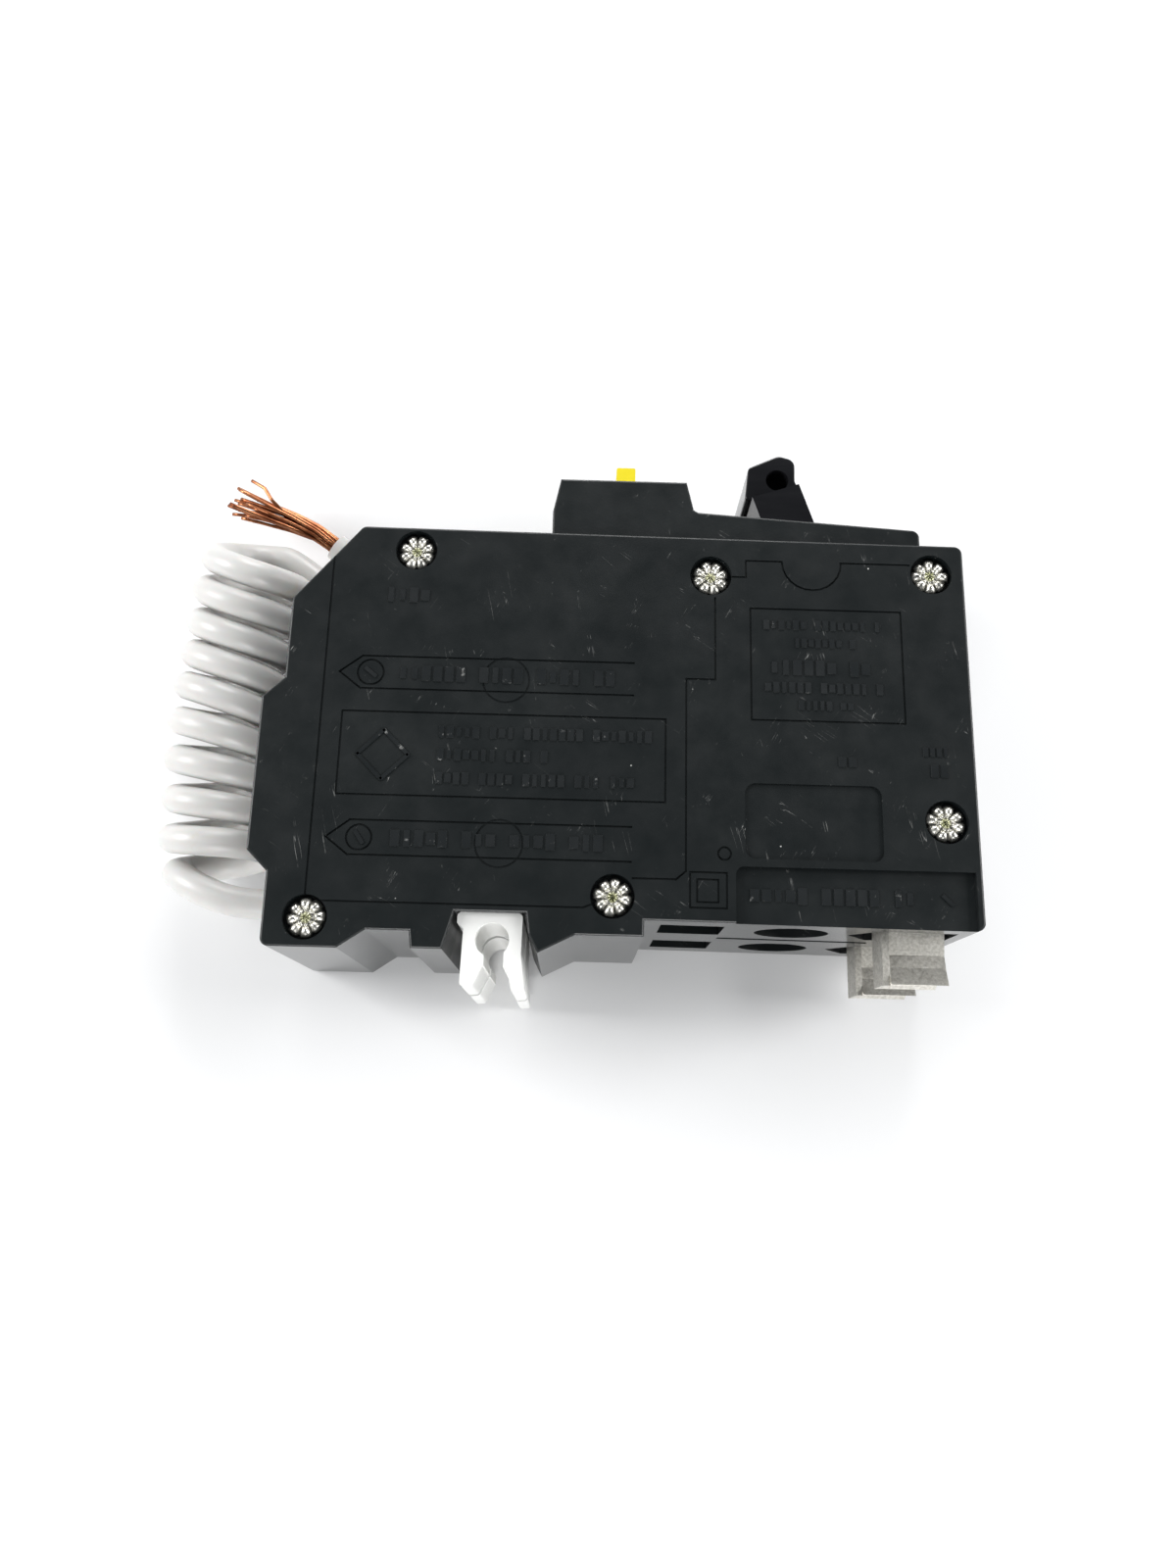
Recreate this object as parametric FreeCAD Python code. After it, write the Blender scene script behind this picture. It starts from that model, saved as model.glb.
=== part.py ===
import FreeCAD, Part

import math
import os

# Two-pole plug-on ground fault breaker, lying on its side.
# +X runs to the line end (plug-on jaws), +Y to the front (handle), +Z up through the two poles.
# Working places are taken from the line end, the back plane and the far side face; the
# finished model is moved so that its origin is the middle of its footprint.

V = FreeCAD.Vector
Z_AXIS = V(0, 0, 1)

# ---------------------------------------------------------------- overall sizes
CASE_LENGTH = 104.5
CASE_WIDTH = 38.1
CASE_HEIGHT = 58.9
WALL = 1.6
SIDE_WALL = 1.5
CLEAR = 0.3
RUNNING = 0.05
CORNER_R = 1.2
EDGE_R = 0.4

# ---------------------------------------------------------------- case outline
END_STEP = 3.1
BULGE_LOW = 8.8
BULGE_HIGH = 31.4
BULGE_SLOPE = 3.0
FOOT_DROP = 4.6
FOOT_LENGTH = 10.7
FOOT_RAMP = 3.85
MID_DROP = 2.0
CHAMFER_RUN = 9.8
CHAMFER_RISE = 12.0
STEP_X = -48.0
FRONT_FALL = 0.6

# front relief: the boss that holds the test button and the ridge round the handle
RELIEF_SETBACK = 0.8
BOSS_START = -62.8
BOSS_END = -41.0
BOSS_RISE = 9.3
RIDGE_RISE = 4.25
RIDGE_END_RISE = 2.2
RIDGE_END = -6.2

# mouldings meet on two planes across the width
SEAM_FROM_NEAR = 13.2
SEAM_NEAR = CASE_WIDTH - SEAM_FROM_NEAR
SEAM_UNDER_POLE = 2.525
SEAM_FAR = CASE_WIDTH / 4 - SEAM_UNDER_POLE
POLE_PITCH = CASE_WIDTH / 2
PARTITION = 1.5
PARTITION_START = -54.0

# open joint between the poles on the back, beside the jaws
GAP_START = -36.0
GAP_END = -13.0
GAP_W = 1.6
GAP_DEEP = 1.0

# sunk label areas on the near face
STRIP_SUNK = 0.9
PAD_SUNK = 0.35
PAD_CORNER = 1.5

# ---------------------------------------------------------------- rivets
RIVET_R = 1.5
RIVET_HOLE_R = 1.6
RIVET_HEAD_R = 2.95
RECESS_R = 3.15
RECESS_DEPTH = 1.5
RECESS_FLOOR = 1.2
RIVET_HEAD_H = 1.2
POST_R = 2.6

# ---------------------------------------------------------------- rail clips and their pocket
CLIP_X = -69.6
POCKET_W = 10.0
POCKET_TOP = 0.9
CLIP_W = 9.2
CLIP_LONG = 16.6
CLIP_DROP = 9.9
CLIP_EYE_R = 2.4

# ---------------------------------------------------------------- plug-on jaws and contacts
JAW_X = -13.4
JAW_SHEET = 1.0
JAW_LEAF = 8.2
JAW_TOP = 8.0
JAW_LIP = 6.6
JAW_PINCH = 1.15
JAW_OPEN = 3.9
CONTACT_X = -10.0
CONTACT_Y = 24.0
PAD_R = 2.2
PAD_H = 1.2
PAD_SET = 0.3
CHUTE_LONG = 4.7
CHUTE_HALF = 5.6
CHUTE_STEP = 3.0

# ---------------------------------------------------------------- handle
PIVOT_X = -23.2
PIVOT_BELOW_FRONT = WALL + 2.4
PIN_R = 1.5
HUB_R = 5.4
STEM_HALF = 3.9
STEM_LEAN = 18.8
GRIP_SETBACK = 5.5
HANDLE_HOLE_R = 1.8
HANDLE_HOLE_DEEP = 4.0
SLOT_START = -32.6
SLOT_END = -13.8

DIP_R = 4.5

# ---------------------------------------------------------------- contact arms
ARM_PIVOT_X = -36.0
ARM_PIVOT_Y = 30.0
ARM_PIN_R = 1.2
ARM_T = 2.4
ARM_W = 5.0
ARM_GAP = 14.0

# ---------------------------------------------------------------- trip parts
TRIP_X = -46.9
TRIP_Y = 12.0
TRIP_PIN_R = 1.0
ARMATURE_T = 1.2
ARMATURE_W = 7.0
ARMATURE_TOP = 45.5
CRADLE_X = -31.0
CRADLE_Y = 43.4
CRADLE_T = 1.6
SOLENOID_LIFT = 2.2
BAR_THICK = 1.6
BOBBIN_R = 5.0
SPOOL_R = 2.6
PLUNGER_R = 1.8
BIMETAL_X = -52.0

# ---------------------------------------------------------------- terminals
LUG_X = 8.4
CAGE_LONG = 8.0
CAGE_W = 9.0
CAGE_SHEET = 0.8
BAR_T = 1.2
BAR_W = 6.8
HOT_BAR_BELOW_FRONT = 17.4
NEUTRAL_BAR_Y = 19.5
WIRE_HOLE_R = 3.3
WIRE_DROP = 3.5
SCREW_R = 2.0
SCREW_HEAD_R = 3.2
SCREW_HEAD_H = 2.2
CAGE_TRAVEL = 4.5
ACCESS_R = 3.5
TUNNEL_WALL = 0.8

# ---------------------------------------------------------------- electronics bay
TOROID_LIFT = 1.65
TOROID_R = 10.5
TOROID_BORE_R = 5.6
LEAD_R = 1.3
LEAD_RING = 2.7
BOARD_T = 1.6
BOARD_GAP = 1.7
BOARD_MARGIN = 3.0
BAY_START = BIMETAL_X - 24.5

# ---------------------------------------------------------------- test button
BUTTON_X = -51.5
BUTTON_W = 3.0
BUTTON_LONG = 8.0
BUTTON_SETBACK = 4.5
BUTTON_PROUD = 3.9
BUTTON_TRAVEL = 1.6
BUTTON_FOOT = 2.0
SEAT_DROP = 2.6
SPRING_R = 1.75
SPRING_WIRE = 0.5
SPRING_TURNS = 2.5

# ---------------------------------------------------------------- pigtail
WIRE_R = 2.35
COPPER_R = 1.45
EXIT_Y = 3.7
EXIT_BELOW_MIDDLE = 2.05
GROMMET_WALL = 0.8
GROMMET_OUT = 0.6
GROMMET_IN = 4.0
INNER_GAP = 0.65
COIL_R = 9.9

NEAR_Z = CASE_WIDTH / 2 + POLE_PITCH / 2
FAR_Z = CASE_WIDTH / 2 - POLE_PITCH / 2
MIDDLE_Z = CASE_WIDTH / 2
PIN_INSET = 0.7
OPEN_END = 1.0
POLES = {"near": NEAR_Z, "far": FAR_Z}
LOAD_END = -CASE_LENGTH
END_FACE = LOAD_END + END_STEP
FRONT = CASE_HEIGHT
PIVOT_Y = FRONT - PIVOT_BELOW_FRONT
EXIT_Z = MIDDLE_Z - EXIT_BELOW_MIDDLE
TOROID_Y = POCKET_TOP + WALL + 2 * WIRE_R + INNER_GAP + TOROID_R + TOROID_LIFT
BOARD_Y = TOROID_Y + TOROID_R + BOARD_GAP
SOLENOID_Y = BOARD_Y + BOARD_T + BOBBIN_R + SOLENOID_LIFT
COIL_START = V(END_FACE - 13.85, EXIT_Y + 7.1, EXIT_Z - 6.9)
COIL_END = V(END_FACE - 12.1, FRONT + 6.3, EXIT_Z - 3.4)
TAIL_POINTS = [
    V(END_FACE - 5.6, FRONT + 1.6, EXIT_Z - 10.4), V(END_FACE + 3.0, FRONT + 1.9, EXIT_Z - 9.8),
    V(END_FACE + 2.8, FRONT + 7.5, EXIT_Z - 9.2), V(END_FACE - 7.3, FRONT + 13.0, EXIT_Z - 9.0),
    V(END_FACE - 20.1, FRONT + 18.9, EXIT_Z - 10.8),
]
RIDGE_TOP = FRONT + RIDGE_RISE
BOSS_TOP = FRONT + BOSS_RISE
LUG_MIDDLE = END_FACE + LUG_X
HOT_BAR_Y = FRONT - HOT_BAR_BELOW_FRONT
POLE_ROOM = POLE_PITCH - SIDE_WALL - PARTITION / 2
HUB_HALF = POLE_ROOM / 2 - RELIEF_SETBACK - 2 * CLEAR

RIVETS = [
    (END_FACE + 18.1, FRONT - 3.8),
    (END_FACE + 6.0, -0.5),
    (-52.5, 3.5),
    (-38.5, FRONT - 6.6),
    (-5.0, FRONT - 5.4),
    (-4.7, 15.35),
]

nodes = {}
cord_nodes = []


# ---------------------------------------------------------------- shape helpers
def box(x0, x1, y0, y1, z0, z1):
    return Part.makeBox(x1 - x0, y1 - y0, z1 - z0, V(x0, y0, z0))


def rod(start, end, radius):
    return Part.makeCylinder(radius, (end - start).Length, start, end - start)


def rod_z(x, y, radius, z0, z1):
    return rod(V(x, y, z0), V(x, y, z1), radius)


def rod_y(x, z, radius, y0, y1):
    return rod(V(x, y0, z), V(x, y1, z), radius)


def rod_x(y, z, radius, x0, x1):
    return rod(V(x0, y, z), V(x1, y, z), radius)


def closed_face(points):
    return Part.Face(Part.makePolygon(points + [points[0]]))


def rounded_face(points):
    """A flat face of (x, y) or (x, y, corner radius) points at z = 0."""
    corners = [(V(p[0], p[1], 0), p[2] if len(p) > 2 else 0.0) for p in points]
    edges = []
    first = last = None
    for i, (corner, radius) in enumerate(corners):
        before = corners[i - 1][0]
        after = corners[(i + 1) % len(corners)][0]
        to_before = (before - corner).normalize()
        to_after = (after - corner).normalize()
        turn = math.pi - to_before.getAngle(to_after)
        cut = radius * math.tan(turn / 2)
        start = corner + to_before * cut
        end = corner + to_after * cut
        if last is not None:
            edges.append(Part.LineSegment(last, start).toShape())
        else:
            first = start
        if radius > 0:
            half = (to_before + to_after).normalize()
            middle = corner + half * (radius / math.cos(turn / 2) - radius)
            edges.append(Part.Arc(start, middle, end).toShape())
        last = end
    edges.append(Part.LineSegment(last, first).toShape())
    return Part.Face(Part.Wire(edges))


def prism(points, z0, z1):
    face = rounded_face(points)
    face.translate(V(0, 0, z0))
    return face.extrude(V(0, 0, z1 - z0))


def prism_x(points, x0, x1):
    """A shape of constant (y, z) section between two places along X."""
    return closed_face([V(x0, y, z) for y, z in points]).extrude(V(x1 - x0, 0, 0))


def fuse(shapes):
    shape = shapes[0]
    for other in shapes[1:]:
        shape = shape.fuse(other)
    return shape.removeSplitter()


def cut(shape, tools):
    for tool in tools:
        shape = shape.cut(tool)
    return shape


def turned(shape, x, y, degrees):
    shape.rotate(V(x, y, 0), Z_AXIS, degrees)
    return shape


def tube(points, radius, report=None):
    """Straight runs joined by tangent arcs, each as large as its two runs allow."""
    edges = []
    radii = []
    last = points[0]
    for before, corner, after in zip(points, points[1:], points[2:]):
        to_before = (before - corner).normalize()
        to_after = (after - corner).normalize()
        turn = math.pi - to_before.getAngle(to_after)
        shorter = min((before - corner).Length, (after - corner).Length)
        arc_r = 0.45 * shorter / math.tan(turn / 2)
        cut_back = arc_r * math.tan(turn / 2)
        start = corner + to_before * cut_back
        end = corner + to_after * cut_back
        half = (to_before + to_after).normalize()
        middle = corner + half * (arc_r / math.cos(turn / 2) - arc_r)
        edges.append(Part.LineSegment(last, start).toShape())
        edges.append(Part.Arc(start, middle, end).toShape())
        radii.append(round(arc_r, 1))
        last = end
    edges.append(Part.LineSegment(last, points[-1]).toShape())
    path = Part.Wire(edges)
    direction = (points[1] - points[0]).normalize()
    ring = Part.Wire(Part.makeCircle(radius, points[0], direction))
    solid = path.makePipeShell([ring], True, False)
    if report:
        share = solid.Volume / (math.pi * radius**2 * path.Length)
        print(report, "arc radii", radii, "length", round(path.Length, 1), "volume", round(share, 3))
    return solid


def helix_spring(x, z, y0, y1, radius, wire, turns):
    """A coil spring along Y as one swept round wire."""
    height = y1 - y0 - wire
    path = Part.makeHelix(height / turns, height, radius)
    ring = Part.Wire(Part.makeCircle(wire / 2, V(radius, 0, 0), V(0, 1, 0)))
    solid = Part.Wire(path).makePipeShell([ring], True, True)
    solid.rotate(V(0, 0, 0), V(1, 0, 0), -90)
    solid.translate(V(x, y0 + wire / 2, z))
    return solid


def add(name, shape, cord=False):
    solids = list(shape) if isinstance(shape, (list, tuple)) else [shape]
    nodes[name] = solids
    if cord:
        cord_nodes.append(name)


# ---------------------------------------------------------------- case
def case_outline():
    pocket_left = CLIP_X - POCKET_W / 2
    pocket_right = CLIP_X + POCKET_W / 2
    foot_end = END_FACE + FOOT_LENGTH
    return [
        (END_FACE + CHAMFER_RUN, FRONT, CORNER_R),
        (END_FACE, FRONT - CHAMFER_RISE, CORNER_R),
        (END_FACE, BULGE_HIGH + BULGE_SLOPE),
        (LOAD_END, BULGE_HIGH, 0.5),
        (LOAD_END, BULGE_LOW, 0.5),
        (END_FACE, BULGE_LOW - BULGE_SLOPE),
        (END_FACE, -FOOT_DROP, CORNER_R),
        (foot_end, -FOOT_DROP),
        (foot_end + FOOT_RAMP, -MID_DROP),
        (pocket_left - 6.2, -MID_DROP),
        (pocket_left - 5.9, -MID_DROP - 2.4),
        (pocket_left - 1.5, -MID_DROP - 2.4),
        (pocket_left - 0.8, -MID_DROP),
        (pocket_left, POCKET_TOP),
        (pocket_right, POCKET_TOP),
        (pocket_right + 0.4, -MID_DROP),
        (pocket_right + 1.8, -MID_DROP - 2.6),
        (pocket_right + 7.0, -MID_DROP),
        (STEP_X, -MID_DROP),
        (STEP_X, 0.3),
        (0.0, 0.0, CORNER_R),
        (0.0, FRONT - FRONT_FALL, CORNER_R),
    ]


def relief_outline(inset):
    """The boss and ridge, from below the front face; inset is the wall for the inner one."""
    low = FRONT - 6.0
    slope = (RIDGE_RISE - RIDGE_END_RISE) / (RIDGE_END - BOSS_END)
    end_top = RIDGE_TOP - slope * (RIDGE_END - inset - BOSS_END) - inset
    return [
        (BOSS_START + inset, low),
        (BOSS_START + inset, FRONT + 3.8),
        (BOSS_START + 1.1 + inset, BOSS_TOP - inset),
        (BOSS_END - 1.1 - inset, BOSS_TOP - inset),
        (BOSS_END - inset, RIDGE_TOP - inset + 0.4),
        (BOSS_END + 0.7 - inset, RIDGE_TOP - inset),
        (RIDGE_END - inset, end_top, CORNER_R),
        (RIDGE_END - inset, low),
    ]


def rounded_plate(points, z0, z1, radius):
    """A prism with its edges rounded on both flat ends."""
    solid = prism(points, z0, z1)
    edges = [e for e in solid.Edges if abs(e.BoundBox.ZMax - e.BoundBox.ZMin) < 0.01]
    return solid.makeFillet(radius, edges)


def case_cavities():
    """Open space inside: one bay at the load end and one room for each pole."""
    inner = rounded_face(case_outline()).makeOffset2D(-WALL, 2)
    if inner.ShapeType != "Face":
        inner = Part.Face(inner.Wires)
    inner.translate(V(0, 0, SIDE_WALL))
    whole = inner.extrude(V(0, 0, CASE_WIDTH - 2 * SIDE_WALL))
    raised = prism(relief_outline(WALL), RELIEF_SETBACK + SIDE_WALL, CASE_WIDTH - RELIEF_SETBACK - SIDE_WALL)
    wall = box(
        PARTITION_START, 10, -10, BOSS_TOP + 10, MIDDLE_Z - PARTITION / 2, MIDDLE_Z + PARTITION / 2
    )
    return whole.fuse(raised).cut(wall)


def handle_slots():
    half = POLE_ROOM / 2 - 2.2
    return [
        box(SLOT_START, SLOT_END, FRONT - 2, BOSS_TOP, z - half, z + half) for z in POLES.values()
    ]


def back_openings():
    """Vent slots, round vents and jaw mouths in the back, one of each for each pole."""
    cuts = []
    for z in POLES.values():
        mouth = [(-17.6, z), (-14.2, z + 5.2), (-2.8, z + 5.2), (-2.8, z - 5.2), (-14.2, z - 5.2)]
        cuts.append(box(-45.4, -36.2, -3, WALL + 1, z - 4.6, z + 5.0))
        cuts.append(rod_y(-26.0, z, 5.4, -1, WALL + 1))
        cuts.append(closed_face([V(x, -1, mz) for x, mz in mouth]).extrude(V(0, WALL + 2, 0)))
    return cuts


def terminal_openings():
    """Wire entries in the load end and the screwdriver holes in the slanted corner."""
    cuts = []
    for z in POLES.values():
        cuts.append(rod_x(HOT_BAR_Y - WIRE_DROP, z, WIRE_HOLE_R, END_FACE - 1, END_FACE + 4))
        cuts.append(rod_y(LUG_MIDDLE, z, ACCESS_R, FRONT - 8.6, FRONT + 1))
    cuts.append(
        rod_x(NEUTRAL_BAR_Y - WIRE_DROP, MIDDLE_Z, WIRE_HOLE_R, LOAD_END - 1, LOAD_END + 4)
    )
    cuts.append(rod_y(LUG_MIDDLE, MIDDLE_Z, ACCESS_R - TUNNEL_WALL, NEUTRAL_BAR_Y + 10, FRONT + 1))
    return cuts


def groove(points, depth=0.25, width=0.28, closed=False):
    """A narrow channel cut into the near face along a line of (x, y) points."""
    cuts = []
    ends = points + [points[0]] if closed else points
    for (xa, ya), (xb, yb) in zip(ends, ends[1:]):
        length = math.hypot(xb - xa, yb - ya)
        bar = box(-width / 2, length + width / 2, -width / 2, width / 2, 0, depth + 0.2)
        bar.rotate(V(0, 0, 0), Z_AXIS, math.degrees(math.atan2(yb - ya, xb - xa)))
        bar.translate(V(xa, ya, CASE_WIDTH - depth))
        cuts.append(bar)
    return cuts


def ring_groove(x, y, radius, depth=0.2, width=0.3):
    outer = rod_z(x, y, radius + width / 2, CASE_WIDTH - depth, CASE_WIDTH + 1)
    return outer.cut(rod_z(x, y, radius - width / 2, CASE_WIDTH - depth - 1, CASE_WIDTH + 2))


def frame_groove(x0, x1, y0, y1):
    return groove([(x0, y0), (x1, y0), (x1, y1), (x0, y1)], closed=True)


def arrow_groove(tip_x, tip_y, half, end_x):
    """A frame with one pointed end, open along its last stretch."""
    neck = tip_x + half * 1.3
    high = tip_y + half
    low = tip_y - half
    return groove([(end_x, high), (neck, high), (tip_x, tip_y), (neck, low), (end_x, low)])


def face_marks():
    """Moulded lines, frames and rings on the near face; none of them is a letter."""
    load = END_FACE
    front = FRONT
    lines = [
        [(load + 5.8, front - 5.2), (load + 5.8, 2.8)],
        [(load + 7.9, 1.8), (-56.7, 1.8), (-55.4, 2.3)],
        [(-49.7, 6.1), (-43.6, 6.1), (-42.2, 7.3), (-42.2, 35.8), (-37.9, 35.8), (-37.9, front - 10.2)],
        [(-35.2, front - 6.7), (-33.2, front - 6.7), (-33.2, front - 4.0), (-27.8, front - 4.0)],
        [(-18.8, front - 4.0), (-8.3, front - 4.0)],
    ]
    cuts = []
    for line in lines:
        cuts += groove(line)
    turns = [math.radians(degrees) for degrees in range(180, 361, 15)]
    cuts += groove([(PIVOT_X + DIP_R * math.cos(a), PIVOT_Y + DIP_R * math.sin(a)) for a in turns])
    cuts += frame_groove(-32.6, -10.0, 29.8, 47.2)
    cuts += frame_groove(load + 8.9, -45.2, 17.1, 29.5)
    cuts += frame_groove(-41.6, -36.4, 2.2, 7.2)
    cuts += frame_groove(-40.6, -37.6, 3.0, 6.2)
    cuts += arrow_groove(load + 8.0, 35.5, 2.5, -50.0)
    cuts += arrow_groove(load + 8.0, 10.9, 2.5, -50.0)
    cuts.append(ring_groove(load + 12.6, 35.5, 1.9))
    cuts.append(ring_groove(load + 12.7, 10.9, 1.8))
    cuts.append(ring_groove(-36.7, 9.95, 0.9))
    cuts.append(ring_groove(-68.8, 34.8, 3.4, 0.12))
    cuts.append(ring_groove(-68.8, 10.5, 3.4, 0.12))
    return cuts


def case():
    outer = rounded_plate(case_outline(), 0, CASE_WIDTH, EDGE_R)
    relief = rounded_plate(relief_outline(0), RELIEF_SETBACK, CASE_WIDTH - RELIEF_SETBACK, EDGE_R)
    whole = outer.fuse(relief)
    posts = [rod_z(x, y, POST_R, SIDE_WALL, CASE_WIDTH - SIDE_WALL) for x, y in RIVETS]
    for x, y in RIVETS:
        floor_r = RECESS_R + 0.8
        floor = RECESS_DEPTH + RECESS_FLOOR
        posts.append(rod_z(x, y, floor_r, SIDE_WALL, floor))
        posts.append(rod_z(x, y, floor_r, CASE_WIDTH - floor, CASE_WIDTH - SIDE_WALL))
    tunnel = rod_y(LUG_MIDDLE, MIDDLE_Z, ACCESS_R, NEUTRAL_BAR_Y + 12, FRONT - 3)
    ledges = [
        box(END_FACE + WALL, END_FACE + WALL + 2.2, HOT_BAR_Y + BAR_T, HOT_BAR_Y + BAR_T + 1.5, z - 3, z + 3)
        for z in POLES.values()
    ]
    ledges.append(
        box(
            LOAD_END + WALL, LUG_MIDDLE - CAGE_LONG / 2 - 0.6,
            NEUTRAL_BAR_Y + BAR_T, NEUTRAL_BAR_Y + BAR_T + 1.5, MIDDLE_Z - 3, MIDDLE_Z + 3,
        )
    )
    jaw_block = box(JAW_X - 3.0, 0, JAW_TOP + CLEAR, JAW_TOP + 3.0, 0, CASE_WIDTH)
    inside = case_cavities()
    end_x, end_y = RIVETS[1]
    post_web = box(END_FACE, end_x, end_y - 1.0, end_y + 0.6, SIDE_WALL, CASE_WIDTH - SIDE_WALL)
    kept = posts + [tunnel, jaw_block, post_web] + ledges
    for piece in kept:
        inside = inside.cut(piece)
    whole = whole.cut(inside)
    whole = cut(whole, handle_slots() + back_openings() + terminal_openings())
    for x, y in RIVETS:
        whole = whole.cut(rod_z(x, y, RIVET_HOLE_R, -OPEN_END, CASE_WIDTH + OPEN_END))
        whole = whole.cut(rod_z(x, y, RECESS_R, -1, RECESS_DEPTH))
        whole = whole.cut(rod_z(x, y, RECESS_R, CASE_WIDTH - RECESS_DEPTH, CASE_WIDTH + 1))
    button_z = CASE_WIDTH - BUTTON_SETBACK - BUTTON_LONG / 2
    fixed_parts = [
        rod_z(PIVOT_X, PIVOT_Y, PIN_R, PIN_INSET, CASE_WIDTH - PIN_INSET),
        rod_z(ARM_PIVOT_X, ARM_PIVOT_Y, ARM_PIN_R, PIN_INSET, CASE_WIDTH - PIN_INSET),
        rod_z(TRIP_X, TRIP_Y, TRIP_PIN_R, PIN_INSET, CASE_WIDTH - PIN_INSET),
        rod_z(CRADLE_X, CRADLE_Y, ARM_PIN_R, PIN_INSET, CASE_WIDTH - PIN_INSET),
        box(
            PARTITION_START - 1, TRIP_X + 3.6, SOLENOID_Y - 5.0, SOLENOID_Y + 4.4,
            MIDDLE_Z - 3, MIDDLE_Z + 3,
        ),
        box(
            BUTTON_X - BUTTON_W / 2 - CLEAR, BUTTON_X + BUTTON_W / 2 + CLEAR, FRONT, BOSS_TOP + 1,
            button_z - BUTTON_LONG / 2 - CLEAR, button_z + BUTTON_LONG / 2 + CLEAR,
        ),
        rod_x(EXIT_Y, EXIT_Z, WIRE_R + GROMMET_WALL, END_FACE - OPEN_END, END_FACE + GROMMET_IN),
        rod_x(EXIT_Y, EXIT_Z, WIRE_R + CLEAR, END_FACE + 3, END_FACE + 12),
    ]
    for z in POLES.values():
        fixed_parts.append(
            box(JAW_X, JAW_X + JAW_SHEET, JAW_TOP - 1, JAW_TOP + 4, z - 3.4, z + 3.4)
        )
    whole = cut(whole, fixed_parts)
    edge = [(-35.1, -1), (-35.1, 8.2, 1.2), (-1.0, 8.2), (-1.0, -1)]
    strip = prism(edge, CASE_WIDTH - STRIP_SUNK, CASE_WIDTH + OPEN_END)
    marks = face_marks() + [strip]
    corners = [(x, y, PAD_CORNER) for x, y in ((-33.7, 9.3), (-13.95, 9.3), (-13.95, 20.3), (-33.7, 20.3))]
    pad = prism(corners, CASE_WIDTH - PAD_SUNK, CASE_WIDTH + OPEN_END)
    near = whole.common(box(-200, 50, -50, 150, SEAM_NEAR, CASE_WIDTH + 5))
    middle = whole.common(box(-200, 50, -50, 150, SEAM_FAR, SEAM_NEAR))
    far = whole.common(box(-200, 50, -50, 150, -5, SEAM_FAR))
    near = near.cut(Part.makeCompound(marks)).cut(pad)
    gap_low = MIDDLE_Z + PARTITION / 2 - GAP_W / 2
    middle = middle.cut(box(GAP_START, GAP_END, -OPEN_END, GAP_DEEP, gap_low, gap_low + GAP_W))
    add("near_cover", near.Solids)
    add("center_case", middle.Solids)
    add("far_cover", far.Solids)


def rivets():
    solids = []
    for x, y in RIVETS:
        shank = rod_z(x, y, RIVET_R, RECESS_DEPTH, CASE_WIDTH - RECESS_DEPTH)
        top = rod_z(x, y, RIVET_HEAD_R, CASE_WIDTH - RECESS_DEPTH, CASE_WIDTH - RECESS_DEPTH + RIVET_HEAD_H)
        low = rod_z(x, y, RIVET_HEAD_R, RECESS_DEPTH - RIVET_HEAD_H, RECESS_DEPTH)
        solids.append(fuse([shank, top, low]))
    add("case_rivets", solids)


def rail_clips():
    top = POCKET_TOP
    left = CLIP_X - CLIP_W / 2
    right = CLIP_X + CLIP_W / 2
    eye_x = CLIP_X + 0.4
    low = -CLIP_DROP
    outline = [
        (left, top, 0.6), (right, top, 0.6), (right - 0.1, -5.0), (right + 0.6, low + 0.2, 0.5),
        (right - 1.2, low, 0.5), (right - 2.0, -6.6, 0.5), (eye_x - 1.2, -6.2, 0.4),
        (left + 2.4, low + 0.8, 0.5), (left + 0.7, low + 0.6, 0.5), (left + 0.9, -1.4), (left, -0.6),
    ]
    for pole, z in POLES.items():
        body = prism(outline, z - CLIP_LONG / 2, z + CLIP_LONG / 2)
        eye = rod_z(eye_x, -2.8, CLIP_EYE_R, -OPEN_END, CASE_WIDTH + OPEN_END)
        neck = box(eye_x - 1.1, eye_x + 1.7, -8, -3.2, -OPEN_END, CASE_WIDTH + OPEN_END)
        add("rail_clip_" + pole, body.cut(eye).cut(neck).Solids)


# ---------------------------------------------------------------- line side
def leaf_section(side, z):
    """One spring leaf of a jaw as a (y, z) outline; the lip flares away from the stab."""
    inner = [(JAW_TOP, 2.4), (1.0, 1.9), (-2.8, JAW_PINCH), (-4.6, 1.7), (-JAW_LIP, JAW_OPEN - JAW_SHEET)]
    outer = [(y - (0.5 if y < -5 else 0), w + JAW_SHEET) for y, w in reversed(inner)]
    return [(y, z + side * w) for y, w in inner + outer]


def line_side():
    for pole, z in POLES.items():
        web = box(JAW_X, JAW_X + JAW_SHEET, -JAW_LIP - 0.6, CONTACT_Y, z - 3.2, z + 3.2)
        base = JAW_X + JAW_SHEET
        leaves = [prism_x(leaf_section(side, z), base, base + JAW_LEAF) for side in (1, -1)]
        shelf = box(JAW_X, CONTACT_X + 3.0, CONTACT_Y - JAW_SHEET, CONTACT_Y, z - 3.2, z + 3.2)
        add("line_jaw_" + pole, fuse([web, shelf] + leaves))
        pad = rod_y(CONTACT_X, z, PAD_R, CONTACT_Y, CONTACT_Y + PAD_H)
        add("fixed_contact_" + pole, pad)
        end = -WALL - CLEAR
        start = end - CHUTE_LONG
        heights = [CONTACT_Y + 4 + step * CHUTE_STEP for step in range(5)]
        plates = [box(start, end, y, y + 1.0, z - CHUTE_HALF, z + CHUTE_HALF) for y in heights]
        boards = [
            box(start, end, heights[0] - 1, heights[-1] + 2, middle - 0.5, middle + 0.5)
            for middle in (z - CHUTE_HALF - 0.5, z + CHUTE_HALF + 0.5)
        ]
        add("arc_chute_" + pole, fuse(boards + plates))


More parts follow.
